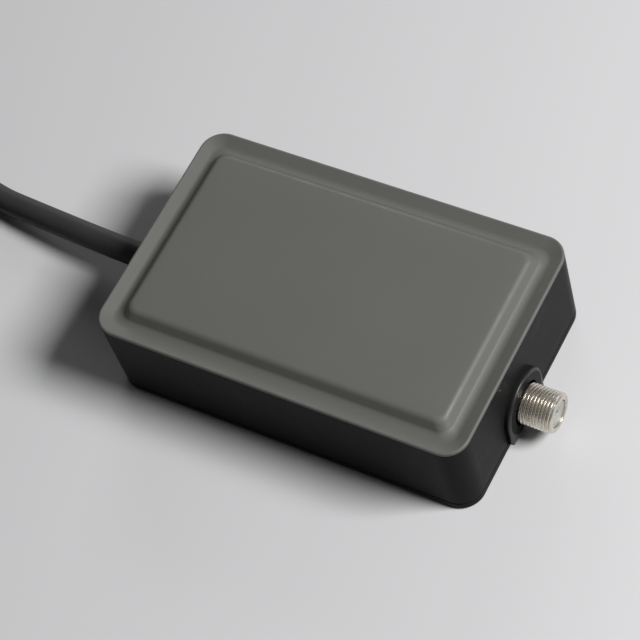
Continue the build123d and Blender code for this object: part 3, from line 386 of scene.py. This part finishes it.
def board_finish():
    """Solder mask over copper: wide ground areas, narrow tracks, bare tinned pads and raw edges."""
    finish = Finish("board_laminate")
    x, y, z = finish.place.axes()
    field = finish.place.noise(9 * mm, 1.0)
    ground = field.step(0.47, 0.475)
    lanes = (y / (pin_pitch / 2)).math("FRACT")
    tracks = (lanes - 0.5).math("ABSOLUTE").step(0.2, 0.24) * (1.0 - ground)
    grid_x = (x / pin_pitch).math("FRACT") - 0.5
    grid_y = (y / pin_pitch).math("FRACT") - 0.5
    from_hole = (grid_x * grid_x + grid_y * grid_y).math("SQRT")
    some = finish.place.cells(pin_pitch, "Color").axes()[1].step(0.8, 0.81)
    on_top = z.step(board_top - 0.05 * mm, board_top - 0.02 * mm)
    via = (1.0 - from_hole.step(0.13, 0.15)) * some * on_top
    copper = ground.math("MAXIMUM", 1.0 - tracks)
    weave = finish.place.noise(0.4 * mm, 2.0, 0.5, (1.0, 0.3, 1.0))
    under, over = z - (board_top - board_thickness), z - board_top
    face = 1.0 - under.step(0.05 * mm, 0.1 * mm) * (1.0 - over.step(-0.1 * mm, -0.05 * mm))
    mask = copper.mix(rgb(0.010, 0.070, 0.032), rgb(0.018, 0.125, 0.055))
    body = face.mix((0.8 + weave * 0.4).tint(rgb(0.32, 0.30, 0.16)), mask)
    finish.set(
        Base_Color=via.mix(body, rgb(0.62, 0.61, 0.58)),
        Metallic=via,
        Roughness=0.3 + (weave - 0.5) * 0.12 + (1.0 - face) * 0.35,
    )
    return finish.relief(copper + weave * 0.2, 0.035 * mm)


def moulded_case_finish():
    """Black moulded epoxy with a glittering, slightly rough face."""
    finish = Finish("moulded_case")
    grain = finish.place.noise(0.09 * mm, 3.0, 0.7)
    cloud = finish.place.noise(1.5 * mm, 2.0)
    finish.set(
        Base_Color=(0.7 + grain * 0.5 + (cloud - 0.5) * 0.3).tint(rgb(0.020, 0.020, 0.022)),
        Roughness=0.5 + (grain - 0.5) * 0.25,
    )
    return finish.relief(grain, 0.012 * mm)


def leaded_case_finish(name, middle, half):
    """The same epoxy, with tinned leads beyond the body, whose half sizes in X and Y are half."""
    finish = moulded_case_finish()
    finish.material.name = name
    blur = 0.02 * mm
    beyond_x, beyond_y = (
        (axis - centre).math("ABSOLUTE").step(reach - blur, reach + blur)
        for axis, centre, reach in zip(finish.place.axes(), middle, half)
    )
    lead = beyond_x.math("MAXIMUM", beyond_y)
    grain = finish.place.noise(0.2 * mm, 2.0)
    black = (0.8 + grain * 0.4).tint(rgb(0.020, 0.020, 0.022))
    return finish.set(
        Base_Color=lead.mix(black, (0.85 + grain * 0.3).tint(rgb(0.62, 0.61, 0.59))),
        Metallic=lead,
        Roughness=0.52 - lead * 0.2 + (grain - 0.5) * 0.2,
    )


def capacitor_finish(middle_x, top):
    """Black shrunk sleeve with a grey stripe for the negative side, and a bare aluminium top."""
    finish = Finish("capacitor_sleeve")
    x, _, z = finish.place.axes()
    metal = z.step(top - 0.12 * mm, top - 0.08 * mm)
    stripe = (x - middle_x).step(2.35 * mm, 2.45 * mm)
    cloud = finish.place.noise(1.4 * mm, 2.0)
    lines = finish.place.noise(0.1 * mm, 1.0, 0.5, (0.05, 1.0, 1.0))
    sleeve = (0.8 + cloud * 0.4).tint(stripe.mix(rgb(0.014, 0.015, 0.022), rgb(0.30, 0.31, 0.32)))
    finish.set(
        Base_Color=metal.mix(sleeve, (0.85 + lines * 0.3).tint(rgb(0.72, 0.72, 0.72))),
        Metallic=metal,
        Roughness=0.26 + metal * 0.12 + (cloud - 0.5) * 0.12,
    )
    return finish.relief(cloud + lines * metal, 0.02 * mm)


def ferrite_finish():
    """Sintered ferrite: dark grey, sandy, with small chips of lighter grain."""
    finish = Finish("ferrite")
    grain = finish.place.noise(0.12 * mm, 4.0, 0.7)
    specks = 1.0 - finish.place.cells(0.5 * mm).step(0.1, 0.2)
    finish.set(
        Base_Color=(0.7 + grain * 0.6 + specks * 0.5).tint(rgb(0.045, 0.045, 0.048)),
        Roughness=0.58 + (grain - 0.5) * 0.25 - specks * 0.15,
    )
    return finish.relief(grain, 0.02 * mm)


def chip_finish(name, colour):
    """A ceramic body between two tinned ends, which the piece marks."""
    finish = Finish(name)
    end = finish.place.node("ShaderNodeAttribute", {"attribute_name": "tinned"}, None, "Fac")
    grain = finish.place.noise(0.12 * mm, 3.0, 0.6)
    solder = finish.place.noise(0.4 * mm, 2.0)
    body = (0.85 + grain * 0.3).tint(colour)
    finish.set(
        Base_Color=end.mix(body, (0.85 + solder * 0.3).tint(rgb(0.62, 0.61, 0.59))),
        Metallic=end,
        Roughness=0.48 - end * 0.16 + (solder - 0.5) * 0.15,
    )
    return finish.relief(grain, 0.01 * mm)


# Making of pieces
def new_piece(name, mesh, finish, smooth=True):
    """A piece of the amplifier's body, from a mesh that is already in place."""
    mesh.polygons.foreach_set("use_smooth", [smooth] * len(mesh.polygons))
    mesh.materials.clear()
    mesh.materials.append(finish.material)
    piece = bpy.data.objects.new(name, mesh)
    bpy.context.scene.collection.objects.link(piece)
    return piece


def to_mesh(shape, name):
    """A mesh from a shape, smooth but for the edges that turn by more than the crease angle."""
    for edge in shape.edges:
        edge.smooth = edge.calc_face_angle(0.0) < crease_angle
    mesh = bpy.data.meshes.new(name)
    shape.to_mesh(mesh)
    shape.free()
    return mesh


def in_order(shape):
    """Sorts a shape's corners, edges and faces by their places, so that all runs number them alike."""
    for index, corner in enumerate(sorted(shape.verts, key=lambda corner: tuple(corner.co))):
        corner.index = index
    shape.verts.sort()
    for parts in (shape.edges, shape.faces):
        ordered = sorted(parts, key=lambda part: sorted(corner.index for corner in part.verts))
        for index, part in enumerate(ordered):
            part.index = index
        parts.sort()


def lathe(shape, profile, middle, axis=(1, 0, 0), steps=96):
    """A solid turned round an axis through middle, from points of (distance along, radius).

    A profile that starts on the axis also ends there. Any other is closed into a ring.
    """
    along = Vector(axis)
    rim = [
        shape.verts.new(Vector(middle) + along * place + Vector((0, radius, 0)))
        for place, radius in profile
    ]
    edges = [shape.edges.new(pair) for pair in zip(rim, rim[1:])]
    if profile[0][1]:
        edges.append(shape.edges.new((rim[-1], rim[0])))
    bmesh.ops.spin(
        shape,
        geom=rim + edges,
        cent=middle,
        axis=axis,
        angle=2 * math.pi,
        steps=steps,
        use_merge=True,
    )
    bmesh.ops.remove_doubles(shape, verts=shape.verts, dist=merge_distance)
    bmesh.ops.recalc_face_normals(shape, faces=shape.faces)
    in_order(shape)


def block(shape, low, high, round_off):
    """A box between two corners, with its edges rounded off."""
    sides = [top - bottom for bottom, top in zip(low, high)]
    made = bmesh.ops.create_cube(shape, size=1.0)["verts"]
    bmesh.ops.scale(shape, vec=sides, verts=made)
    bmesh.ops.translate(shape, vec=[(a + b) / 2 for a, b in zip(low, high)], verts=made)
    edges = list(dict.fromkeys(edge for corner in made for edge in corner.link_edges))
    bmesh.ops.bevel(
        shape,
        geom=edges,
        offset=round_off,
        offset_type="OFFSET",
        segments=2,
        profile=0.5,
        affect="EDGES",
        material=-1,
    )
    in_order(shape)


def common_part(first, second, name):
    """The shape that two closed shapes share."""
    objects = []
    for shape in (first, second):
        mesh = bpy.data.meshes.new(name)
        shape.to_mesh(mesh)
        shape.free()
        objects.append(bpy.data.objects.new(name, mesh))
        bpy.context.scene.collection.objects.link(objects[-1])
    cut = objects[0].modifiers.new("cut", "BOOLEAN")
    cut.operation = "INTERSECT"
    cut.solver = "EXACT"
    cut.object = objects[1]
    shown = objects[0].evaluated_get(bpy.context.evaluated_depsgraph_get())
    result = bmesh.new()
    result.from_mesh(shown.to_mesh())
    shown.to_mesh_clear()
    in_order(result)
    for item in objects:
        mesh = item.data
        bpy.data.objects.remove(item)
        bpy.data.meshes.remove(mesh)
    bmesh.ops.remove_doubles(result, verts=result.verts, dist=cut_merge_distance)
    bmesh.ops.dissolve_degenerate(result, dist=cut_merge_distance, edges=result.edges)
    bmesh.ops.recalc_face_normals(result, faces=result.faces)
    return result


def rounded(corners, steps):
    """A line through corners of (across, up, radius), each an arc of its radius, or sharp at 0."""
    points = [Vector(corner[:2]) for corner in corners]
    radii = [corner[2] for corner in corners[1:-1]]
    line = [points[0]]
    for before, corner, after, radius in zip(points, points[1:], points[2:], radii):
        if not radius:
            line.append(corner)
            continue
        inward = (before - corner).normalized()
        outward = (after - corner).normalized()
        half = inward.angle(outward) / 2
        middle = corner + (inward + outward).normalized() * radius / math.sin(half)
        start = corner + inward * radius / math.tan(half) - middle
        sweep = (corner + outward * radius / math.tan(half) - middle).angle_signed(start)
        for step in range(steps + 1):
            line.append(middle + Matrix.Rotation(sweep * step / steps, 2) @ start)
    return line + [points[-1]]


# Lid: rounded rectangles at each point of its section, bridged into one shell. An inset is a
# distance in from the housing's outline: the rim falls from the lip to a trough, and from the
# foot of a slope the lid steps up to its plateau. A rib fits into the housing round a recess.
corner_steps = 12
lid_corner = 5.5 * mm
lip_land = 0.5 * mm
trough_inset = 3.5 * mm
trough_height = 23.86 * mm
foot_inset = 4.9 * mm
foot_height = 24.38 * mm
plateau_inset = 6.45 * mm
section_end = 12.0 * mm
rib_inset = 2.15 * mm
rib_corner = 3.35 * mm
rib_bottom = 22.3 * mm
recess_inset = 8.4 * mm
recess_corner = 2.0 * mm
recess_height = 24.9 * mm
post_inset = 7.4 * mm
post_radius = 3.2 * mm
post_bottom = 4.6 * mm
post_top = 23.6 * mm
pilot_radius = 1.3 * mm
pilot_top = 15.6 * mm
pilot_cone = 0.4 * mm
pilot_chamfer = 0.3 * mm


def corner_at(inset):
    """Radius of the lid's corners at an inset."""
    stations = [
        (0.0, lid_corner),
        (0.9 * mm, 4.6 * mm),
        (trough_inset, 2.8 * mm),
        (plateau_inset, 2.6 * mm),
        (recess_inset, recess_corner),
    ]
    for (near, near_radius), (far, far_radius) in zip(stations, stations[1:]):
        if inset <= far:
            share = (inset - near) / (far - near)
            return near_radius + (far_radius - near_radius) * share
    return recess_corner


def first_ring(shape, inset, height, radius):
    """A face in the shape of a rounded rectangle. Gives its edges."""
    corners = bmesh.ops.create_grid(shape, x_segments=1, y_segments=1, size=0.5)["verts"]
    bmesh.ops.scale(shape, vec=(length - 2 * inset, width - 2 * inset, 1), verts=corners)
    bmesh.ops.translate(shape, vec=(0, 0, height), verts=corners)
    bmesh.ops.bevel(
        shape,
        geom=corners,
        offset=radius,
        offset_type="OFFSET",
        segments=corner_steps,
        profile=0.5,
        affect="VERTICES",
        material=-1,
    )
    return list(shape.edges)


def next_ring(shape, edges, old, new):
    """Extrudes a ring of edges from one inset, height and corner radius to the next.

    Each corner keeps its place along its arc, from 0 at one end to 1 at the other.
    """
    made = bmesh.ops.extrude_edge_only(shape, edges=edges)["geom"]
    for corner in (item for item in made if isinstance(item, bmesh.types.BMVert)):
        for axis, size in enumerate((length, width)):
            side = math.copysign(1.0, corner.co[axis])
            turned = (abs(corner.co[axis]) - (size / 2 - old[0] - old[2])) / old[2]
            corner.co[axis] = side * (size / 2 - new[0] - new[2] * (1 - turned))
        corner.co.z = new[1]
    return [item for item in made if isinstance(item, bmesh.types.BMEdge)]


def lid_stations():
    """Inset, height and corner radius of each ring, from inside the recess out and up the lid."""
    outside = rounded(
        [
            (rib_inset, housing_top, 0),
            (0.0, housing_top, 0),
            (0.0, lip_height, 0.35 * mm),
            (lip_land, lip_height, 0.3 * mm),
            (trough_inset, trough_height, 2.0 * mm),
            (foot_inset, foot_height, 1.3 * mm),
            (plateau_inset, plateau_top, 1.7 * mm),
            (section_end, plateau_top, 0),
        ],
        steps=6,
    )
    return [
        (recess_inset, recess_height, recess_corner),
        (recess_inset, rib_bottom, recess_corner),
        (rib_inset, rib_bottom, rib_corner),
        (rib_inset, housing_top, rib_corner),
        *((inset, height, corner_at(inset)) for inset, height in outside[1:]),
    ]


def add_posts(shape):
    """A post for each cover screw, with a pilot hole in its lower end."""
    section = [
        (pilot_top, 0.0),
        (pilot_top - pilot_cone, pilot_radius),
        (post_bottom + pilot_chamfer, pilot_radius),
        (post_bottom, pilot_radius + pilot_chamfer),
        (post_bottom, post_radius - 0.2 * mm),
        (post_bottom + 0.2 * mm, post_radius),
        (post_top, post_radius),
        (post_top, 0.0),
    ]
    for side in (-1, 1):
        for end in (-1, 1):
            foot = (end * (length / 2 - post_inset), side * (width / 2 - post_inset), 0)
            lathe(shape, section, foot, axis=(0, 0, 1), steps=32)


def make_lid(finish):
    """The lid with its rib, recess and posts."""
    stations = lid_stations()
    shape = bmesh.new()
    edges = first_ring(shape, *stations[0])
    for old, new in zip(stations, stations[1:]):
        edges = next_ring(shape, edges, old, new)
    bmesh.ops.holes_fill(shape, edges=edges)
    add_posts(shape)
    return new_piece("lid", to_mesh(shape, "lid"), finish)


# Aerial jack: a barrel with a cut thread that runs out into a chamfer at its tip, on a flange
# inside the end wall whose prongs hold the board between them
jack_tip = 55.4 * mm
crest_radius = 4.76 * mm
neck_radius = 4.33 * mm
bore_radius = 3.3 * mm
thread_back = 47.9 * mm
thread_pitch = 0.794 * mm
thread_turns = 16
thread_steps = 72
flange_front = 43.8 * mm
flange_back = 41.8 * mm
flange_half_width = 4.8 * mm
flange_half_height = 5.8 * mm
prong_tip = 36.8 * mm
prong_width = 1.5 * mm
prong_height = 1.1 * mm
overlap = 0.1 * mm


def threaded_rod():
    """A closed rod with a running thread, longer than the barrel at both ends."""
    shape = bmesh.new()
    front = jack_tip + 1.5 * thread_pitch
    # One turn's section, in mm: distance back from its start and depth below the crest
    flank = [(0.0, 0.03), (0.03, 0.0), (0.17, 0.0), (0.20, 0.03), (0.43, 0.40), (0.48, 0.42)]
    flank += [(0.53, 0.42), (0.58, 0.40), (thread_pitch / mm, 0.03)]
    start = [
        shape.verts.new((front - back * mm, jack_middle[0] + crest_radius - depth * mm, jack_middle[1]))
        for back, depth in flank
    ]
    edges = [shape.edges.new(pair) for pair in zip(start, start[1:])]
    bmesh.ops.spin(
        shape,
        geom=start + edges,
        cent=(0, *jack_middle),
        axis=(1, 0, 0),
        dvec=(-thread_pitch / thread_steps, 0, 0),
        angle=2 * math.pi * thread_turns,
        steps=thread_steps * thread_turns,
    )
    bmesh.ops.remove_doubles(shape, verts=shape.verts, dist=merge_distance)
    open_edges = [edge for edge in shape.edges if edge.is_boundary]
    bmesh.ops.holes_fill(shape, edges=open_edges)
    bmesh.ops.recalc_face_normals(shape, faces=shape.faces)
    in_order(shape)
    return shape


def jack_barrel():
    """The barrel: what the threaded rod shares with a tube that has the barrel's outline."""
    blank_radius = crest_radius + 0.02 * mm
    section = rounded(
        [
            (flange_front - overlap, bore_radius, 0),
            (jack_tip, bore_radius, 0.12 * mm),
            (jack_tip, 4.3 * mm, 0.15 * mm),
            (jack_tip - 0.5 * mm, blank_radius, 0),
            (thread_back, blank_radius, 0),
            (thread_back - 0.5 * mm, neck_radius, 0),
            (flange_front - overlap, neck_radius, 0),
        ],
        steps=4,
    )
    outline = bmesh.new()
    lathe(outline, section, (0, *jack_middle), steps=thread_steps)
    return common_part(threaded_rod(), outline, "jack_barrel")


def make_jack(finish):
    """The barrel with its flange and four prongs, a pair above the board and a pair below."""
    shape = jack_barrel()
    jack_y, jack_z = jack_middle
    block(
        shape,
        (flange_back, jack_y - flange_half_width, jack_z - flange_half_height),
        (flange_front, jack_y + flange_half_width, jack_z + flange_half_height),
        0.15 * mm,
    )
    prong_root = flange_back + overlap
    board_bottom = board_top - board_thickness
    for side in (-1, 1):
        for low in (board_top, board_bottom - prong_height):
            outer = jack_y + side * flange_half_width
            near, far = sorted((outer - side * prong_width, outer))
            block(shape, (prong_tip, near, low), (prong_root, far, low + prong_height), 0.1 * mm)
    return new_piece("aerial_jack", to_mesh(shape, "aerial_jack"), finish)


def make_insulator(finish):
    """The white plug of the jack, dished a little round the hole for the pin."""
    face = jack_tip - 0.4 * mm
    web_back = face - 1.2 * mm
    shoulder = flange_front + 0.05 * mm
    outer_radius = bore_radius - 0.05 * mm
    pin_radius, contact_radius = 0.65 * mm, 1.15 * mm
    tail_radius, wire_radius = 2.15 * mm, 0.55 * mm
    section = rounded(
        [
            (web_back, pin_radius, 0),
            (face - 0.25 * mm, pin_radius, 0.12 * mm),
            (face - 0.12 * mm, 1.35 * mm, 0.2 * mm),
            (face, 1.9 * mm, 0.2 * mm),
            (face, outer_radius, 0.3 * mm),
            (shoulder, outer_radius, 0),
            (shoulder, tail_radius, 0),
            (flange_back, tail_radius, 0),
            (flange_back, wire_radius, 0),
            (flange_front, wire_radius, 0),
            (flange_front, contact_radius, 0),
            (web_back, contact_radius, 0),
        ],
        steps=4,
    )
    shape = bmesh.new()
    lathe(shape, section, (0, *jack_middle))
    return new_piece("jack_insulator", to_mesh(shape, "jack_insulator"), finish)


# Finishes of all pieces
lid_plastic = lid_finish()
housing_plastic = housing_finish()
nickel = turned_metal("nickel_plate", rgb(0.74, 0.70, 0.62), rgb(0.48, 0.44, 0.38), 0.2)
screw_steel = rolled_metal("screw_steel", rgb(0.56, 0.56, 0.57), rgb(0.34, 0.33, 0.31), 0.3)
tin_plate = rolled_metal("tin_plate", rgb(0.68, 0.68, 0.67), rgb(0.50, 0.50, 0.50), 0.24)
bronze = turned_metal("contact_bronze", rgb(0.78, 0.58, 0.30), rgb(0.52, 0.36, 0.18), 0.24)
copper = turned_metal("copper", rgb(0.80, 0.42, 0.26), rgb(0.45, 0.22, 0.13), 0.22)
white_insulator = insulator_finish()
foam = foam_finish()
jacket = jacket_finish()
grommet_rubber = rubber("grommet_rubber", rgb(0.022, 0.022, 0.022), 0.58)
braid = braid_finish()
board = board_finish()
moulded_case = moulded_case_finish()
ferrite = ferrite_finish()

# The lead: from the grommet along the table, into its coil and on to the plug. Its route and
# its strap are in millimetres and degrees.
cable_diameter = 6.1 * mm
grommet_point = (-46.9, -0.5, 8.3)
lead_points = [(-60.0, -0.25, 8.3), (-85.0, 2.3, 5.5), (-102.0, 4.4, 3.05)]
coil_entry = (-114.06, 9.76, 3.05)
coil_exit = (-111.7, 8.2, 9.7)
tail_points = [(-119.1, 15.6, 9.7), (-128.2, 20.8, 8.5), (-138.5, 23.05, 6.5)]
plug_back = (-149.0, 23.05, 6.5)
coil_middle = (-133.585, -22.371)
coil_radius = 37.1
coil_pitch = 6.65
coil_start = 68.05
coil_sweep = 1416.95
coil_floor = 3.05
coil_upper = 9.7
climb_start = 619.9
climb_end = 797.0
turn_points = 16

strap_angle = 247.0
strap_thickness = 0.4
strap_breadth = 9.0
strap_inner = 24.05
strap_outer = 37.3
strap_corner = 2.9
strap_lift = 0.45
strap_strips = 6
flap_inset = 2.0
flap_margin = 0.3


def coil_points():
    """Control points of the coil: it winds inwards, climbs a layer, and winds out over itself.

    They stand out a little, so that the curve between them has the coil's radius, and the turns
    lift a little over the strap.
    """
    count = round(coil_sweep / 360 * turn_points)
    stand_out = 1 / math.cos(math.pi / turn_points)
    points = []
    for step in range(1, count):
        angle = coil_sweep * step / count
        inward = coil_pitch / 360 * min(angle, coil_sweep - angle)
        climb = min(max((angle - climb_start) / (climb_end - climb_start), 0), 1)
        radius = (coil_radius - inward) * stand_out
        way = math.radians(coil_start + angle)
        over_strap = strap_lift * max(math.cos(way - math.radians(strap_angle)), 0) ** 2
        points.append(
            (
                coil_middle[0] + radius * math.cos(way),
                coil_middle[1] + radius * math.sin(way),
                coil_floor + (coil_upper - coil_floor) * climb + over_strap,
            )
        )
    return points


def make_lead(finish):
    """The whole lead as one smooth curve."""
    data = bpy.data.curves.new("coax_lead", "CURVE")
    data.dimensions = "3D"
    data.bevel_depth = cable_diameter / 2
    data.bevel_resolution = 10
    data.resolution_u = 8
    data.use_fill_caps = True
    route = [grommet_point, *lead_points, coil_entry, *coil_points()]
    route += [coil_exit, *tail_points, plug_back]
    line = data.splines.new("NURBS")
    line.points.add(len(route) - 1)
    for point, place in zip(line.points, route):
        point.co = (*(part * mm for part in place), 1.0)
    line.order_u = 3
    line.use_endpoint_u = True
    data.materials.append(finish.material)
    piece = bpy.data.objects.new("coax_cable", data)
    bpy.context.scene.collection.objects.link(piece)
    return piece


def make_strap(finish):
    """A hook-and-loop strap round the coil, with its end pressed over itself."""
    shape = bmesh.new()
    top = coil_upper + strap_lift + cable_diameter / mm / 2
    wide, tall = strap_outer - strap_inner, top - strap_thickness
    corners = bmesh.ops.create_grid(shape, x_segments=1, y_segments=1, size=0.5)["verts"]
    bmesh.ops.scale(shape, vec=(wide, tall, 1), verts=corners)
    bmesh.ops.bevel(
        shape,
        geom=corners,
        offset=strap_corner,
        offset_type="OFFSET",
        segments=8,
        profile=0.5,
        affect="VERTICES",
        material=-1,
    )
    edges = list(shape.edges)
    bmesh.ops.delete(shape, geom=list(shape.faces), context="FACES_ONLY")
    for _ in range(strap_strips):
        made = bmesh.ops.extrude_edge_only(shape, edges=edges)["geom"]
        moved = [item for item in made if isinstance(item, bmesh.types.BMVert)]
        bmesh.ops.translate(shape, vec=(0, 0, strap_breadth / strap_strips), verts=moved)
        edges = [item for item in made if isinstance(item, bmesh.types.BMEdge)]
    bmesh.ops.recalc_face_normals(shape, faces=shape.faces)
    bmesh.ops.solidify(shape, geom=list(shape.faces), thickness=-strap_thickness)
    bmesh.ops.recalc_face_normals(shape, faces=shape.faces)
    low = (wide / 2 + strap_thickness * 0.9, -tall / 2 + flap_inset, flap_margin)
    high = (wide / 2 + strap_thickness * 1.8, tall / 2 - flap_inset, strap_breadth - flap_margin)
    block(shape, low, high, 0.15)
    way = math.radians(strap_angle)
    across = Vector((math.cos(way), math.sin(way), 0))
    along = Vector((math.sin(way), -math.cos(way), 0))
    facing = Matrix((across, Vector((0, 0, 1)), along)).transposed().to_4x4()
    middle = Vector((*coil_middle, 0)) - along * strap_breadth / 2
    middle += across * (strap_inner + strap_outer) / 2
    middle.z = strap_thickness + tall / 2
    shape.transform(Matrix.Scale(mm, 4) @ Matrix.Translation(middle) @ facing)
    return new_piece("coil_strap", to_mesh(shape, "coil_strap"), finish)


strap = make_strap(strap_finish())
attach(strap, "amplifier")
lead = make_lead(jacket)
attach(lead, "amplifier")
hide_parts("coax_lead", "coax_coil", "coax_tail")

lid = make_lid(lid_plastic)
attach(lid, "amplifier")
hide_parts("top_cover")

jack = make_jack(nickel)
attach(jack, "amplifier")
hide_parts("f_jack_body")

insulator = make_insulator(white_insulator)
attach(insulator, "amplifier")
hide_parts("f_jack_insulator")


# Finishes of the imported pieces
def middle_of(node):
    """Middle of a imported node's box."""
    low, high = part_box(node)
    return (low + high) / 2


def ends_marked(node, name, finish, end):
    """The small chips of a node, with the faces within end of either end marked as tinned."""
    shape = bmesh.new()
    shape.from_mesh(nodes[node].data)
    bmesh.ops.remove_doubles(shape, verts=shape.verts, dist=2 * merge_distance)
    tinned = shape.faces.layers.float.new("tinned")
    left = set(shape.faces)
    while left:
        chip, waiting = set(), [left.pop()]
        while waiting:
            face = waiting.pop()
            chip.add(face)
            near = {other for side in face.edges for other in side.link_faces if other in left}
            left -= near
            waiting.extend(near)
        places = [corner.co.x for face in chip for corner in face.verts]
        middle, half = (min(places) + max(places)) / 2, (max(places) - min(places)) / 2
        for face in chip:
            away = abs(face.calc_center_median().x - middle)
            face[tinned] = 1.0 if away > half - end else 0.0
    piece = new_piece(name, to_mesh(shape, name), finish, smooth=False)
    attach(piece, "amplifier")
    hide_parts(node)
    return piece


chip_half = (2.25 * mm, 2.25 * mm)
regulator_half = (3.25 * mm, 1.75 * mm)
diode_half = (2.15 * mm, 1.3 * mm)
chip_end = 0.4 * mm
capacitors_middle = middle_of("electrolytic_capacitors").x
capacitors_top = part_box("electrolytic_capacitors")[1].z
packed = {
    "main_housing": housing_plastic,
    "bottom_cover": housing_plastic,
    "cable_clamp": housing_plastic,
    "cover_screws": screw_steel,
    "board_screws": screw_steel,
    "clamp_screws": screw_steel,
    "circuit_board": board,
    "f_jack_contact": bronze,
    "dc_jack_housing": moulded_case,
    "dc_jack_pin": nickel,
    "dc_jack_spring": nickel,
    "dc_jack_terminals": tin_plate,
    "cable_grommet": grommet_rubber,
    "cable_jacket_end": jacket,
    "cable_braid": braid,
    "cable_dielectric": foam,
    "cable_conductor": copper,
    "shield_frame": tin_plate,
    "shield_lid": tin_plate,
    "amplifier_chip": leaded_case_finish("amplifier_chip", middle_of("amplifier_chip"), chip_half),
    "voltage_regulator": leaded_case_finish("regulator", middle_of("voltage_regulator"), regulator_half),
    "electrolytic_capacitors": capacitor_finish(capacitors_middle, capacitors_top),
    "polarity_diode": leaded_case_finish("diode", middle_of("polarity_diode"), diode_half),
    "power_choke": ferrite,
    "matching_transformer": ferrite,
    "plug_sleeve": nickel,
    "plug_nut": nickel,
    "plug_dielectric": foam,
    "plug_pin": copper,
}
for node, finish in packed.items():
    data = nodes[node].data
    data.materials.clear()
    data.materials.append(finish.material)
ceramic = chip_finish("ceramic", rgb(0.50, 0.33, 0.18))
thick_film = chip_finish("thick_film", rgb(0.025, 0.025, 0.026))
ends_marked("chip_capacitors", "ceramic_chips", ceramic, chip_end)
ends_marked("chip_resistors", "film_chips", thick_film, chip_end)


# Table, lamps and sky
table_half = 3.0
sky_brightness = 0.3
fill_brightness = 0.04


def seen(tree):
    """1 for what the camera sees, itself or in metal or through glass, and 0 for light that spreads."""
    camera, glossy, through = (
        add_node(tree, "ShaderNodeLightPath", None, None, "Is " + ray + " Ray")
        for ray in ("Camera", "Glossy", "Transmission")
    )
    return camera.math("MAXIMUM", glossy).math("MAXIMUM", through)


def make_floor():
    """A pale table, which is duller for the light that it throws back."""
    finish = Finish("pale_table")
    cloud = finish.place.noise(0.35, 2.0)
    pale = cloud.mix(rgb(0.62, 0.62, 0.63), rgb(0.66, 0.66, 0.67))
    finish.set(
        Base_Color=seen(finish.tree).mix(rgb(0.16, 0.16, 0.16), pale),
        Roughness=0.8,
        Specular_IOR_Level=0.1,
    )
    shape = bmesh.new()
    bmesh.ops.create_grid(shape, x_segments=4, y_segments=4, size=table_half)
    floor = new_piece("table", to_mesh(shape, "table"), finish)


def make_lamp(name, azimuth, elevation, far, size, power):
    """A square softbox, aimed at the amplifier from an azimuth and an elevation in degrees.

    It is far metres away, size metres wide and power watts strong.
    """
    round_way, up_way = math.radians(azimuth), math.radians(elevation)
    place = Vector(
        (
            math.cos(up_way) * math.cos(round_way),
            math.cos(up_way) * math.sin(round_way),
            math.sin(up_way),
        )
    )
    data = bpy.data.lights.new(name, "AREA")
    data.shape = "SQUARE"
    data.size = size
    data.energy = power
    lamp = bpy.data.objects.new(name, data)
    lamp.location = place * far
    lamp.rotation_euler = place.to_track_quat("Z", "Y").to_euler()
    bpy.context.scene.collection.objects.link(lamp)


make_floor()
make_lamp("side_softbox", azimuth=12.0, elevation=46.0, far=0.97, size=0.32, power=11.8)
make_lamp("back_softbox", azimuth=118.0, elevation=22.0, far=1.0, size=0.5, power=1.8)
world = bpy.data.worlds.new("sky")
world.use_nodes = True
strength = seen(world.node_tree) * sky_brightness + fill_brightness
background = world.node_tree.nodes["Background"]
background.inputs["Color"].default_value = rgb(1.0, 1.0, 1.0)
world.node_tree.links.new(strength.socket, background.inputs["Strength"])
bpy.context.scene.world = world
bpy.context.scene.view_settings.view_transform = "Standard"
